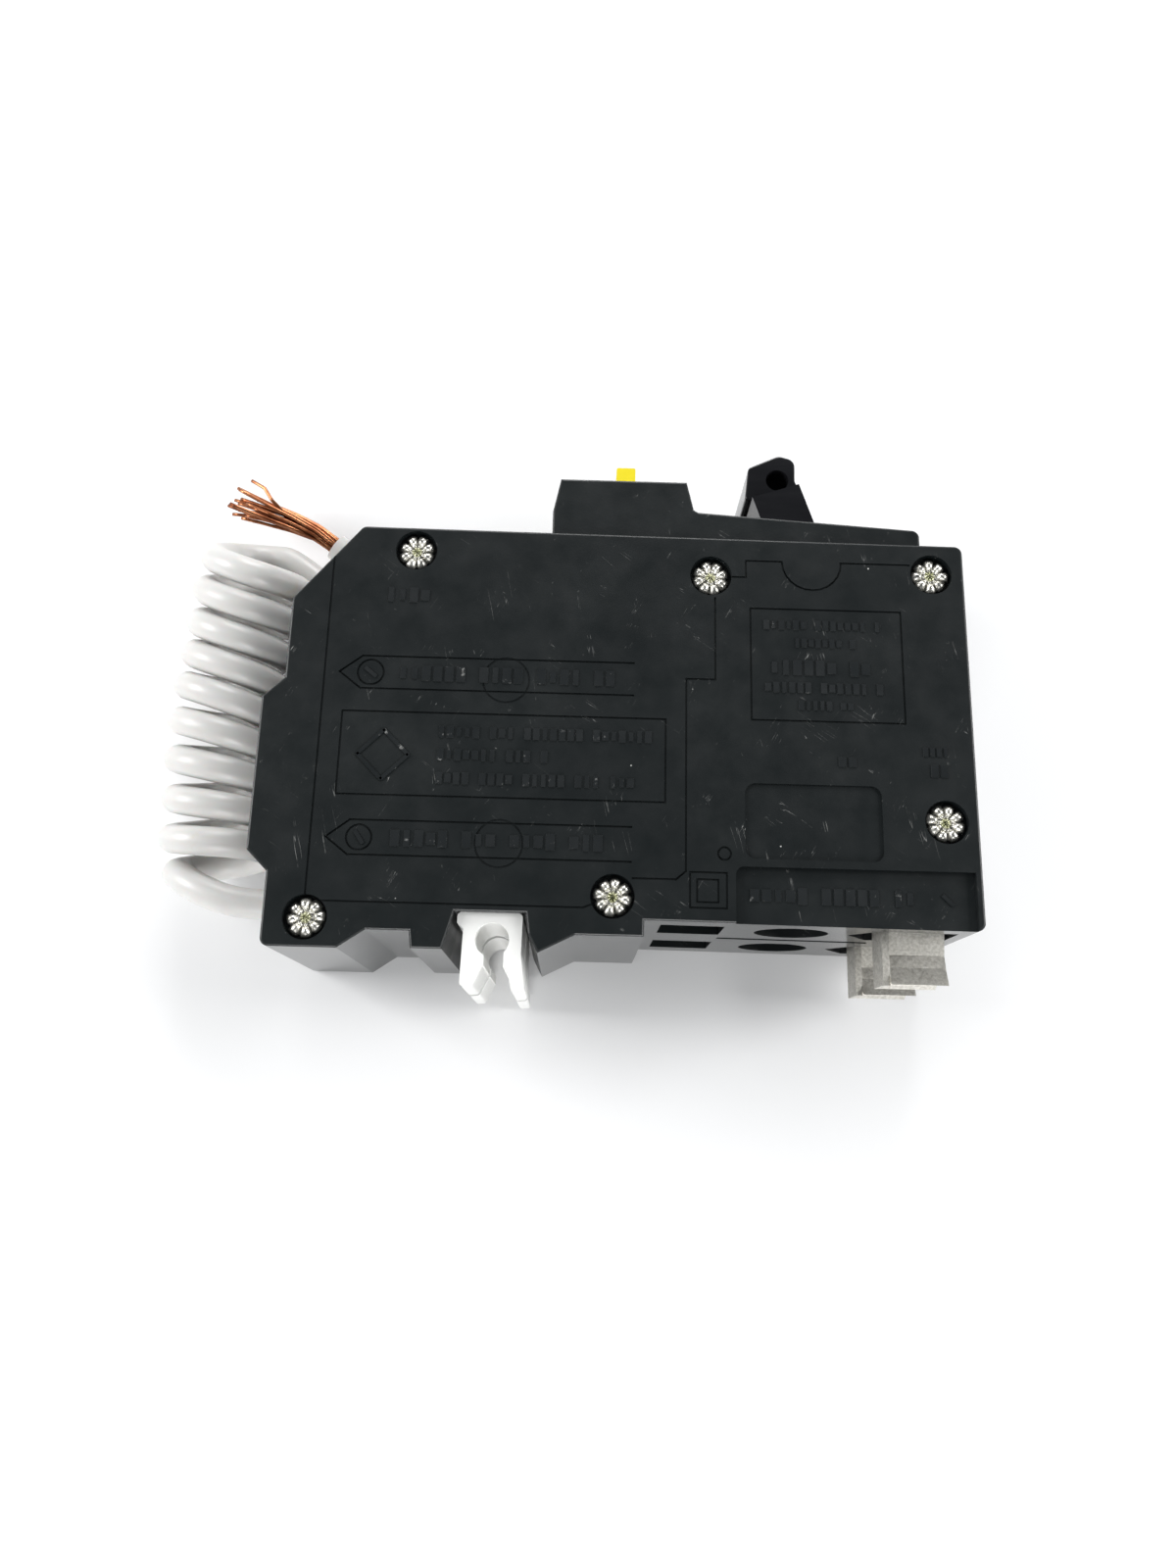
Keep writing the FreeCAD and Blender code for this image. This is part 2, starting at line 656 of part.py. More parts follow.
def contact_arms():
    closed = math.degrees(
        math.atan2(CONTACT_Y + 2 * PAD_H + ARM_T / 2 - ARM_PIVOT_Y, CONTACT_X - ARM_PIVOT_X)
    )
    reach = math.hypot(CONTACT_X - ARM_PIVOT_X, CONTACT_Y + 2 * PAD_H + ARM_T / 2 - ARM_PIVOT_Y)
    for pole, z in POLES.items():
        eye = rod_z(ARM_PIVOT_X, ARM_PIVOT_Y, 2.8, z - ARM_W / 2, z + ARM_W / 2)
        bar = box(
            ARM_PIVOT_X, ARM_PIVOT_X + reach + 2.2, ARM_PIVOT_Y - ARM_T / 2, ARM_PIVOT_Y + ARM_T / 2,
            z - ARM_W / 2, z + ARM_W / 2,
        )
        hook = box(
            ARM_PIVOT_X + 13.0, ARM_PIVOT_X + 15.0, ARM_PIVOT_Y, ARM_PIVOT_Y + 2.6, z - 1.0, z + 1.0
        )
        hole = rod_z(ARM_PIVOT_X, ARM_PIVOT_Y, ARM_PIN_R + RUNNING, -OPEN_END, CASE_WIDTH + OPEN_END)
        arm = turned(fuse([eye, bar, hook]).cut(hole), ARM_PIVOT_X, ARM_PIVOT_Y, closed)
        pad_top = CONTACT_Y + 2 * PAD_H + PAD_SET
        pad = rod_y(CONTACT_X, z, PAD_R, CONTACT_Y + PAD_H, pad_top)
        arm = arm.cut(pad)
        add("contact_arm_" + pole, turned(arm, ARM_PIVOT_X, ARM_PIVOT_Y, ARM_GAP))
        add("moving_contact_" + pole, turned(pad, ARM_PIVOT_X, ARM_PIVOT_Y, ARM_GAP))


def pins():
    add("handle_pin", rod_z(PIVOT_X, PIVOT_Y, PIN_R, PIN_INSET, CASE_WIDTH - PIN_INSET))
    add("arm_pin", rod_z(ARM_PIVOT_X, ARM_PIVOT_Y, ARM_PIN_R, PIN_INSET, CASE_WIDTH - PIN_INSET))
    add("trip_pin", rod_z(TRIP_X, TRIP_Y, TRIP_PIN_R, PIN_INSET, CASE_WIDTH - PIN_INSET))
    add("cradle_pin", rod_z(CRADLE_X, CRADLE_Y, ARM_PIN_R, PIN_INSET, CASE_WIDTH - PIN_INSET))


def handle():
    up = PIVOT_Y - 54.9
    grip = [
        (-32.5, 67.7 + up, 0.6), (-31.9, 73.3 + up, 1.0), (-27.0, 75.6 + up, 1.6), (-24.4, 74.9 + up, 1.5),
        (-24.45, 71.2 + up, 1.2), (-23.25, 68.4 + up), (-23.5, 67.1 + up), (-26.5, 66.7 + up),
    ]
    bar = rounded_plate(grip, GRIP_SETBACK, CASE_WIDTH - GRIP_SETBACK, 0.3)
    half = POLE_ROOM / 2 - 2.2 - CLEAR
    solids = [bar]
    for z in POLES.values():
        stem = box(PIVOT_X - STEM_HALF, PIVOT_X + STEM_HALF, PIVOT_Y, PIVOT_Y + 14.4, z - half, z + half)
        foot = box(PIVOT_X - 1.6, PIVOT_X + 1.6, PIVOT_Y - HUB_R - 1.6, PIVOT_Y, z - 1.2, z + 1.2)
        solids.append(turned(fuse([stem, foot]), PIVOT_X, PIVOT_Y, STEM_LEAN))
        solids.append(rod_z(PIVOT_X, PIVOT_Y, HUB_R, z - HUB_HALF, z + HUB_HALF))
    whole = fuse(solids)
    hole_x = -27.3
    hole_y = 71.2 + up
    near_end = CASE_WIDTH - GRIP_SETBACK
    ends = [
        rod_z(hole_x, hole_y, HANDLE_HOLE_R, GRIP_SETBACK - 1, GRIP_SETBACK + HANDLE_HOLE_DEEP),
        rod_z(hole_x, hole_y, HANDLE_HOLE_R, near_end - HANDLE_HOLE_DEEP, near_end + 1),
        rod_z(PIVOT_X, PIVOT_Y, PIN_R + RUNNING, -OPEN_END, CASE_WIDTH + OPEN_END),
    ]
    add("handle", cut(whole, ends))


# ---------------------------------------------------------------- trip side
def trip_side():
    calibration = []
    for pole, z in POLES.items():
        eye = rod_z(TRIP_X, TRIP_Y, 2.2, z - ARMATURE_W / 2, z + ARMATURE_W / 2)
        plate = box(
            TRIP_X - ARMATURE_T / 2, TRIP_X + ARMATURE_T / 2, TRIP_Y, ARMATURE_TOP,
            z - ARMATURE_W / 2, z + ARMATURE_W / 2,
        )
        window = box(TRIP_X - 2, TRIP_X + 2, CRADLE_Y - 2.6, CRADLE_Y + 1.0, z - 1.6, z + 1.6)
        hole = rod_z(TRIP_X, TRIP_Y, TRIP_PIN_R + RUNNING, -OPEN_END, CASE_WIDTH + OPEN_END)
        add("armature_" + pole, fuse([eye, plate]).cut(window).cut(hole))
        eye = rod_z(CRADLE_X, CRADLE_Y, 2.7, z - CRADLE_T / 2, z + CRADLE_T / 2)
        lever = prism(
            [
                (CRADLE_X, CRADLE_Y - 2.2), (CRADLE_X, CRADLE_Y + 2.2), (TRIP_X + 5, CRADLE_Y + 0.5),
                (TRIP_X + 0.2, CRADLE_Y + 0.5), (TRIP_X + 0.2, CRADLE_Y - 1.3), (TRIP_X + 5, CRADLE_Y - 1.6),
            ],
            z - CRADLE_T / 2, z + CRADLE_T / 2,
        )
        hole = rod_z(CRADLE_X, CRADLE_Y, ARM_PIN_R + RUNNING, -OPEN_END, CASE_WIDTH + OPEN_END)
        add("cradle_" + pole, fuse([eye, lever]).cut(hole))
        back = box(BIMETAL_X - 2.4, BIMETAL_X - 1.2, 21.0, 29.0, z - 5.0, z + 5.0)
        cheeks = [
            box(BIMETAL_X - 2.4, TRIP_X - 3.2, 21.0, 29.0, z + side * 4.4 - 0.6, z + side * 4.4 + 0.6)
            for side in (1, -1)
        ]
        add("magnet_yoke_" + pole, fuse([back] + cheeks))
        strip = box(BIMETAL_X, BIMETAL_X + 1.0, 11.0, 34.0, z - 3.0, z + 3.0)
        foot = box(BIMETAL_X - 3.6, BIMETAL_X, 11.0, 12.2, z - 3.0, z + 3.0)
        add("bimetal_" + pole, fuse([strip, foot]))
        shank = rod_x(32.0, z, 1.0, BIMETAL_X - 4.2, BIMETAL_X)
        head = rod_x(32.0, z, 1.7, BIMETAL_X - 5.4, BIMETAL_X - 4.2)
        calibration.append(fuse([shank, head]))
    face = TRIP_X - ARMATURE_T / 2
    low = SOLENOID_Y - 3.4
    bar = box(face - BAR_THICK, face, low, SOLENOID_Y - 1.0, FAR_Z - 4, NEAR_Z + 4)
    fork_out = box(face - BAR_THICK, face, low, SOLENOID_Y + 2.6, MIDDLE_Z - 2.4, MIDDLE_Z + 2.4)
    gap = box(TRIP_X - 4, TRIP_X + 2, SOLENOID_Y - 0.9, SOLENOID_Y + 4, MIDDLE_Z - 1.1, MIDDLE_Z + 1.1)
    add("trip_bar", fuse([bar, fork_out]).cut(gap))
    add("calibration_screws", calibration)


def solenoid():
    x0 = BIMETAL_X - 22.0
    x1 = BIMETAL_X - 6.5
    spool = fuse(
        [
            rod_x(SOLENOID_Y, MIDDLE_Z, SPOOL_R, x0, x1),
            rod_x(SOLENOID_Y, MIDDLE_Z, BOBBIN_R, x0, x0 + 0.8),
            rod_x(SOLENOID_Y, MIDDLE_Z, BOBBIN_R, x1 - 0.8, x1),
        ]
    ).cut(rod_x(SOLENOID_Y, MIDDLE_Z, PLUNGER_R + RUNNING, x0 + 1.4, x1 + 1))
    add("solenoid_bobbin", spool)
    winding = rod_x(SOLENOID_Y, MIDDLE_Z, BOBBIN_R - 0.4, x0 + 0.8, x1 - 0.8)
    add("solenoid_coil", winding.cut(rod_x(SOLENOID_Y, MIDDLE_Z, SPOOL_R, x0, x1)))
    head_x = TRIP_X - ARMATURE_T / 2 + 0.15
    plunger = fuse(
        [
            rod_x(SOLENOID_Y, MIDDLE_Z, PLUNGER_R, x0 + 5.0, x1 + 2.0),
            rod_x(SOLENOID_Y, MIDDLE_Z, 0.7, x1 + 2.0, head_x + 0.8),
            rod_x(SOLENOID_Y, MIDDLE_Z, 1.9, head_x, head_x + 0.8),
        ]
    )
    add("solenoid_plunger", plunger)


# ---------------------------------------------------------------- terminals
def terminal(name, bar_y, z, bar_start):
    x0 = LUG_MIDDLE - CAGE_LONG / 2
    x1 = LUG_MIDDLE + CAGE_LONG / 2
    top = bar_y + BAR_T
    add("load_bar_" + name, box(bar_start, x1 + 3.0, bar_y, top, z - BAR_W / 2, z + BAR_W / 2))
    shell = box(x0, x1, bar_y - 8.5, top + CLEAR + 2.0, z - CAGE_W / 2, z + CAGE_W / 2)
    room = box(
        x0 - 1, x1 + 1, bar_y - 7.0, top + CLEAR, z - CAGE_W / 2 + CAGE_SHEET, z + CAGE_W / 2 - CAGE_SHEET
    )
    hole = rod_y(LUG_MIDDLE, z, SCREW_R + RUNNING, top, top + 5)
    add("lug_cage_" + name, cut(shell, [room, hole]))
    head_y = top + CLEAR + 2.0 + CAGE_TRAVEL + 0.6
    shank = rod_y(LUG_MIDDLE, z, SCREW_R, top + 0.2, head_y)
    head = rod_y(LUG_MIDDLE, z, SCREW_HEAD_R, head_y, head_y + SCREW_HEAD_H)
    slot = box(LUG_MIDDLE - 4, LUG_MIDDLE + 4, head_y + 1.2, head_y + 4, z - 0.45, z + 0.45)
    add("lug_screw_" + name, fuse([shank, head]).cut(slot))


def terminals():
    terminal("near", HOT_BAR_Y, NEAR_Z, END_FACE + WALL)
    terminal("far", HOT_BAR_Y, FAR_Z, END_FACE + WALL)
    terminal("neutral", NEUTRAL_BAR_Y, MIDDLE_Z, LOAD_END + WALL)


# ---------------------------------------------------------------- electronics
def electronics():
    x0 = BAY_START
    ring = rod_x(TOROID_Y, MIDDLE_Z, TOROID_R, x0, x0 + 8.0).cut(
        rod_x(TOROID_Y, MIDDLE_Z, TOROID_BORE_R, x0 - 1, x0 + 9)
    )
    add("sensing_toroid", ring)
    ring = rod_x(TOROID_Y, MIDDLE_Z, TOROID_R - 1, x0 + 9.2, x0 + 13.6).cut(
        rod_x(TOROID_Y, MIDDLE_Z, TOROID_BORE_R, x0 + 8, x0 + 15)
    )
    add("grounded_neutral_toroid", ring)
    board = box(
        x0 - 0.5, BIMETAL_X - 6.0, BOARD_Y, BOARD_Y + BOARD_T, BOARD_MARGIN, CASE_WIDTH - BOARD_MARGIN
    )
    add("circuit_board", board)
    top = BOARD_Y + BOARD_T
    parts = [
        box(x0 + 1, x0 + 9, top, top + 2.4, 5.0, 10.0),
        box(x0 + 11, x0 + 15, top, top + 5.0, 4.6, 9.4),
        rod_y(x0 + 5, 31.0, 3.0, top, top + 9.0),
        rod_y(x0 + 12.5, 30.4, 2.2, top, top + 6.0),
        rod_x(top + 1.2, 12.4, 1.1, x0 + 2, x0 + 9),
    ]
    add("board_components", parts)
    saddle = box(x0 + 3.2, x0 + 16.2, top, SOLENOID_Y - BOBBIN_R, MIDDLE_Z - 3, MIDDLE_Z + 3)
    add("solenoid_saddle", saddle)


def leads():
    x0 = BAY_START
    bar_end = LUG_MIDDLE + CAGE_LONG / 2 + 3.0
    for pole, z in POLES.items():
        side = 1 if z > MIDDLE_Z else -1
        y = TOROID_Y + LEAD_RING * 0.5
        zi = MIDDLE_Z + side * LEAD_RING * 0.87
        start_y = HOT_BAR_Y + BAR_T / 2
        points = [
            V(bar_end, start_y, z), V(bar_end + 4.0, start_y - 1.0, z),
            V(bar_end + 5.0, y + 4.0, (z + zi) / 2), V(x0 - 1.0, y, zi), V(x0 + 15.5, y, zi),
            V(BIMETAL_X - 6.0, 14.0, z), V(BIMETAL_X - 3.6, 11.6, z),
        ]
        add("load_lead_" + pole, tube(points, LEAD_R))
    y = TOROID_Y - LEAD_RING
    points = [
        V(bar_end, NEUTRAL_BAR_Y + BAR_T / 2, MIDDLE_Z), V(x0 - 3.0, NEUTRAL_BAR_Y, MIDDLE_Z),
        V(x0, y, MIDDLE_Z), V(x0 + 16.0, y, MIDDLE_Z), V(x0 + 19.0, y - 2.5, MIDDLE_Z),
    ]
    add("neutral_lead", tube(points, LEAD_R))


def test_parts():
    z = CASE_WIDTH - BUTTON_SETBACK - BUTTON_LONG / 2
    top = BOSS_TOP + BUTTON_PROUD
    left = BUTTON_X - BUTTON_W / 2
    right = BUTTON_X + BUTTON_W / 2
    key = prism(
        [
            (left, FRONT + BUTTON_FOOT), (right, FRONT + BUTTON_FOOT), (right, top, 0.3), (left, top, 0.3),
        ],
        z - BUTTON_LONG / 2, z + BUTTON_LONG / 2,
    )
    flange = box(
        left - 1.2, right + 1.2, FRONT + 4.0, FRONT + 5.4, z - BUTTON_LONG / 2, z + BUTTON_LONG / 2
    )
    stem = rod_y(BUTTON_X, z, 1.0, FRONT - 3.0, FRONT + 3.0)
    add("test_button", fuse([key, flange, stem]))
    pressed = FRONT + BUTTON_FOOT - BUTTON_TRAVEL - RUNNING
    spring = helix_spring(BUTTON_X, z, FRONT - SEAT_DROP, pressed, SPRING_R, SPRING_WIRE, SPRING_TURNS)
    add("button_spring", spring)
    seat = box(BUTTON_X - 4.0, BUTTON_X + 4.0, FRONT - SEAT_DROP - 0.8, FRONT - SEAT_DROP, z - 3.0, z + 3.0)
    add("test_contact_holder", seat.cut(rod_y(BUTTON_X, z, 1.4, FRONT - 5, FRONT)))
    leaf = box(BUTTON_X - 4.0, BUTTON_X + 1.6, FRONT - 6.0, FRONT - 5.6, z - 2.0, z + 2.0)
    leg = box(BUTTON_X - 4.4, BUTTON_X - 4.0, BOARD_Y + BOARD_T, FRONT - 5.6, z - 2.0, z + 2.0)
    add("test_leaf", fuse([leaf, leg]))


# ---------------------------------------------------------------- pigtail
def pigtail():
    exit_point = V(END_FACE - GROMMET_OUT, EXIT_Y, EXIT_Z)
    sleeve = rod_x(EXIT_Y, EXIT_Z, WIRE_R + GROMMET_WALL, END_FACE - GROMMET_OUT, END_FACE + GROMMET_IN)
    bore = rod_x(EXIT_Y, EXIT_Z, WIRE_R, END_FACE - 2, END_FACE + GROMMET_IN + OPEN_END)
    add("wire_grommet", sleeve.cut(bore))
    under_toroid = TOROID_Y - TOROID_R - WIRE_R - INNER_GAP
    inner = [
        exit_point, V(END_FACE + 14.0, EXIT_Y, EXIT_Z), V(END_FACE + 22.0, under_toroid, EXIT_Z),
        V(BAY_START + 10.0, under_toroid, EXIT_Z),
    ]
    add("pigtail_inner", tube(inner, WIRE_R, "pigtail_inner"))
    axis = (COIL_END - COIL_START).normalize()
    add("pigtail_coil", rod(COIL_START, COIL_END, COIL_R), cord=True)
    foot = COIL_START + V(1.2, 0, 3.2)
    lead = [
        exit_point, V(exit_point.x - 4.5, EXIT_Y, EXIT_Z),
        V(exit_point.x - 9.5, EXIT_Y + 0.9, EXIT_Z - 1.4), foot,
    ]
    add("pigtail_lead", tube(lead, WIRE_R, "pigtail_lead").cut(rod(COIL_START, COIL_END, COIL_R)), cord=True)
    tail = tube(TAIL_POINTS, COPPER_R, "copper_end")
    add("copper_end", tail.cut(rod(COIL_START - axis, COIL_END, COIL_R)), cord=True)


def main():
    case()
    rivets()
    rail_clips()
    line_side()
    contact_arms()
    pins()
    handle()
    trip_side()
    solenoid()
    terminals()
    electronics()
    leads()
    test_parts()
    pigtail()
    own = Part.makeCompound([s for name, solids in nodes.items() if name not in cord_nodes for s in solids])
    bounds = own.optimalBoundingBox()
    shift = V(-bounds.Center.x, -bounds.Center.y, -bounds.ZMin)
    print("shift", [round(c, 4) for c in shift], "bounds", bounds)
    os.makedirs("parts", exist_ok=True)
    for name, solids in nodes.items():
        shape = solids[0] if len(solids) == 1 else Part.makeCompound(solids)
        shape.translate(shift)
        if not shape.isValid() or not all(s.isClosed() for s in shape.Solids) or not shape.Solids:
            print("check", name, shape.ShapeType, len(shape.Solids), shape.isValid())
        shape.exportStep("parts/" + name + ".step")
    print(len(nodes), "nodes")


main()
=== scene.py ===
"""Looks of a two-pole plug-on ground fault breaker with a coiled white neutral wire.

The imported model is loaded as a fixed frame. Each class below dresses or builds one
sub-assembly in the model's own frame. Lengths are in metres, except where a class says mm.
"""
import logging
import math
from dataclasses import dataclass
from enum import Enum

import bmesh
import bpy
import numpy as np
from mathutils import Matrix, Vector


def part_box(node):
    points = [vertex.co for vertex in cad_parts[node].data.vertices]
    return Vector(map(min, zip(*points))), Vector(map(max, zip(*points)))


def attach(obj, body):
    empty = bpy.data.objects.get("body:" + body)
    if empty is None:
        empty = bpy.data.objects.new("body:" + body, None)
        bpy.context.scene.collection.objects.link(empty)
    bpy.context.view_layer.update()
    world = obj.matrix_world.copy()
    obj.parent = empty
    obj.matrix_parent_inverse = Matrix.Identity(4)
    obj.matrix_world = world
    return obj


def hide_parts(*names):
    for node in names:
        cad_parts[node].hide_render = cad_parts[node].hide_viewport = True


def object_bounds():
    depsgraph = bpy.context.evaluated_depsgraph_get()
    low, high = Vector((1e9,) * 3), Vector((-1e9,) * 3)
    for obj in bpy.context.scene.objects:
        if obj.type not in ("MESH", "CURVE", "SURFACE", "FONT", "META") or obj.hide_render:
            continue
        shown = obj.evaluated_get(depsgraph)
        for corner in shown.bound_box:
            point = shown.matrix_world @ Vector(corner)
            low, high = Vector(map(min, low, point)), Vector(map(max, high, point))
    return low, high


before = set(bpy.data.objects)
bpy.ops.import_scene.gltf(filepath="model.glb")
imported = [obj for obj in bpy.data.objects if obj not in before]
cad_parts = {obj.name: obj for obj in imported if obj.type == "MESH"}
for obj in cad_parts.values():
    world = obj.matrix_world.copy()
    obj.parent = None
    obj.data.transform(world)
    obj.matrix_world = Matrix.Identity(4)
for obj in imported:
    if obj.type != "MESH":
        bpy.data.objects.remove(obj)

CAD_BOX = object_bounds()
LOG = logging.getLogger("breaker")
MM = 0.001


# ------------------------------------------------------------------ mesh helpers
def cad_box(node: str) -> tuple[np.ndarray, np.ndarray]:
    """Lowest and highest corner of a CAD node, as arrays.

    Args:
        node: name of the CAD node.

    Returns:
        The two corners in metres.
    """
    low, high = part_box(node)
    return np.array(low), np.array(high)


def grid_faces(rows: int, columns: int, offset: int = 0) -> np.ndarray:
    """Quads that join neighbouring rings of points, each ring closed on itself.

    Args:
        rows: number of rings.
        columns: points in each ring.
        offset: index of the grid's first vertex.

    Returns:
        An (n, 4) array of vertex indices.
    """
    row, column = np.meshgrid(np.arange(rows - 1), np.arange(columns), indexing="ij")
    after = (column + 1) % columns
    here, above = row * columns, (row + 1) * columns
    quads = np.stack([here + column, here + after, above + after, above + column], axis=-1)
    return quads.reshape(-1, 4) + offset


def mesh_object(name: str, points: np.ndarray, faces: list, smooth: bool = True) -> bpy.types.Object:
    """Makes an object in the scene from points and faces.

    Args:
        name: name of the piece.
        points: (n, 3) array of places in metres.
        faces: lists of vertex indices.
        smooth: whether faces are shaded smooth.

    Returns:
        The new object.
    """
    mesh = bpy.data.meshes.new(name)
    mesh.from_pydata(np.asarray(points, float).tolist(), [], [list(map(int, face)) for face in faces])
    mesh.polygons.foreach_set("use_smooth", np.full(len(mesh.polygons), smooth))
    mesh.update()
    piece = bpy.data.objects.new(name, mesh)
    bpy.context.scene.collection.objects.link(piece)
    return piece


def frames_along(path: np.ndarray) -> tuple[np.ndarray, np.ndarray]:
    """Two unit vectors across a path at each point, turned as little as possible.

    The first frame is any pair square to the path; each next one is the last one with
    its part along the new tangent taken away.

    Args:
        path: (n, 3) array of points.

    Returns:
        Two (n, 3) arrays of unit vectors square to the path and to each other.
    """
    tangent = np.gradient(path, axis=0)
    tangent /= np.linalg.norm(tangent, axis=1, keepdims=True)
    side = np.cross(tangent[0], [0.0, 0.0, 1.0])
    if np.linalg.norm(side) < 1e-3:
        side = np.cross(tangent[0], [0.0, 1.0, 0.0])
    sides = np.empty_like(path)
    for index, along in enumerate(tangent):
        side = side - along * side.dot(along)
        side = side / np.linalg.norm(side)
        sides[index] = side
    return sides, np.cross(tangent, sides)


def tube_points(path: np.ndarray, radius: np.ndarray, around: int) -> np.ndarray:
    """Points of a round tube: each ring is a circle of its radius square to the path.

    Args:
        path: (n, 3) centreline.
        radius: (n,) radius at each point.
        around: points in each ring.

    Returns:
        An (n * around, 3) array.
    """
    side, other = frames_along(path)
    angle = np.linspace(0.0, math.tau, around, endpoint=False)
    ring = side[:, None] * np.cos(angle)[None, :, None] + other[:, None] * np.sin(angle)[None, :, None]
    return (path[:, None] + ring * radius[:, None, None]).reshape(-1, 3)


def resample(path: np.ndarray, count: int) -> np.ndarray:
    """The same line with evenly spaced points.

    Args:
        path: (n, 3) array of points.
        count: how many points to return.

    Returns:
        A (count, 3) array.
    """
    steps = np.linalg.norm(np.diff(path, axis=0), axis=1)
    along = np.concatenate([[0.0], np.cumsum(steps)])
    wanted = np.linspace(0.0, along[-1], count)
    return np.stack([np.interp(wanted, along, path[:, axis]) for axis in range(3)], axis=1)


# ------------------------------------------------------------------ node helpers
class Shade:
    """A short way to write a material's nodes."""

    def __init__(self, name: str) -> None:
        """Starts a material with one principled shader and object coordinates.

        Args:
            name: the material's name.
        """
        self.material = bpy.data.materials.new(name)
        self.material.use_nodes = True
        self.tree = self.material.node_tree
        self.tree.nodes.clear()
        self.out = self.tree.nodes.new("ShaderNodeOutputMaterial")
        self.shader = self.tree.nodes.new("ShaderNodeBsdfPrincipled")
        self.tree.links.new(self.shader.outputs[0], self.out.inputs[0])
        self.place = self.tree.nodes.new("ShaderNodeTexCoord").outputs["Object"]

    def set(self, **values: object) -> None:
        """Sets shader sockets; underscores in names stand for spaces.

        Args:
            values: socket name to a constant or to an output that feeds it.
        """
        for key, value in values.items():
            self.feed(self.shader.inputs[key.replace("_", " ")], value)

    def feed(self, socket: bpy.types.NodeSocket, value: object) -> None:
        """Links an output to a socket, or sets its constant.

        Args:
            socket: the input.
            value: an output, a number or a colour.
        """
        if isinstance(value, bpy.types.NodeSocket):
            self.tree.links.new(value, socket)
        elif isinstance(value, (tuple, list)) and len(value) == 3 and socket.type == "RGBA":
            socket.default_value = (*value, 1.0)
        else:
            socket.default_value = value

    def mapped(self, scale: tuple, turn: tuple = (0, 0, 0), source: object = None) -> object:
        """Coordinates stretched and turned.

        Args:
            scale: multiplier along each axis.
            turn: rotation in radians.
            source: the coordinates, object space unless given.

        Returns:
            The vector output.
        """
        node = self.tree.nodes.new("ShaderNodeMapping")
        self.feed(node.inputs["Vector"], source or self.place)
        node.inputs["Scale"].default_value = scale
        node.inputs["Rotation"].default_value = turn
        return node.outputs[0]

    def noise(self, scale: float, detail: float = 3.0, rough: float = 0.5, vector: object = None) -> object:
        """Soft noise from 0 to 1.

        Args:
            scale: waves per metre.
            detail: octaves.
            rough: share kept by each octave.
            vector: coordinates, object space unless given.

        Returns:
            The value output.
        """
        node = self.tree.nodes.new("ShaderNodeTexNoise")
        self.feed(node.inputs["Vector"], vector or self.place)
        node.inputs["Scale"].default_value = scale
        node.inputs["Detail"].default_value = detail
        node.inputs["Roughness"].default_value = rough
        return node.outputs[0]

    def cells(self, scale: float) -> object:
        """Distance to the nearest cell point.

        Args:
            scale: cells per metre.

        Returns:
            The distance output.
        """
        node = self.tree.nodes.new("ShaderNodeTexVoronoi")
        node.feature = "F1"
        self.feed(node.inputs["Vector"], self.place)
        node.inputs["Scale"].default_value = scale
        return node.outputs["Distance"]

    def ramp(self, value: object, *stops: tuple[float, tuple[float, float, float] | float]) -> object:
        """A colour or grey ramp.

        Args:
            value: what drives it.
            stops: place and colour pairs, in order.

        Returns:
            The colour output.
        """
        node = self.tree.nodes.new("ShaderNodeValToRGB")
        self.feed(node.inputs[0], value)
        elements = node.color_ramp.elements
        while len(elements) < len(stops):
            elements.new(1.0)
        for element, (place, colour) in zip(elements, stops):
            element.position = place
            grey = (colour,) * 3 if isinstance(colour, (int, float)) else colour
            element.color = (*grey, 1.0)
        return node.outputs[0]

    def mix(self, share: object, first: object, second: object) -> object:
        """A blend of two colours.

        Args:
            share: 0 gives the first, 1 the second.
            first: a colour or output.
            second: a colour or output.

        Returns:
            The colour output.
        """
        node = self.tree.nodes.new("ShaderNodeMix")
        node.data_type = "RGBA"
        self.feed(node.inputs[0], share)
        self.feed(node.inputs[6], first)
        self.feed(node.inputs[7], second)
        return node.outputs[2]

    def math(self, operation: str, first: object, second: object = 0.0) -> object:
        """One arithmetic step.

        Args:
            operation: Blender's name for it.
            first: a number or output.
            second: a number or output.

        Returns:
            The value output.
        """
        node = self.tree.nodes.new("ShaderNodeMath")
        node.operation = operation
        self.feed(node.inputs[0], first)
        self.feed(node.inputs[1], second)
        return node.outputs[0]

    def axis(self, name: str) -> object:
        """One of the object coordinates.

        Args:
            name: X, Y or Z.

        Returns:
            The value output, in metres.
        """
        node = self.tree.nodes.new("ShaderNodeSeparateXYZ")
        self.feed(node.inputs[0], self.place)
        return node.outputs[name]

    def facing(self, name: str) -> object:
        """How far the surface's normal points along one axis, from -1 to 1.

        Args:
            name: X, Y or Z.

        Returns:
            The value output.
        """
        normal = self.tree.nodes.new("ShaderNodeNewGeometry").outputs["Normal"]
        node = self.tree.nodes.new("ShaderNodeSeparateXYZ")
        self.feed(node.inputs[0], normal)
        return node.outputs[name]

    def bump(self, height: object, depth: float) -> None:
        """Gives the shader a bump normal.

        Args:
            height: value from 0 to 1.
            depth: metres between 0 and 1.
        """
        node = self.tree.nodes.new("ShaderNodeBump")
        node.inputs["Distance"].default_value = depth
        node.inputs["Strength"].default_value = 1.0
        self.feed(node.inputs["Height"], height)
        self.tree.links.new(node.outputs[0], self.shader.inputs["Normal"])


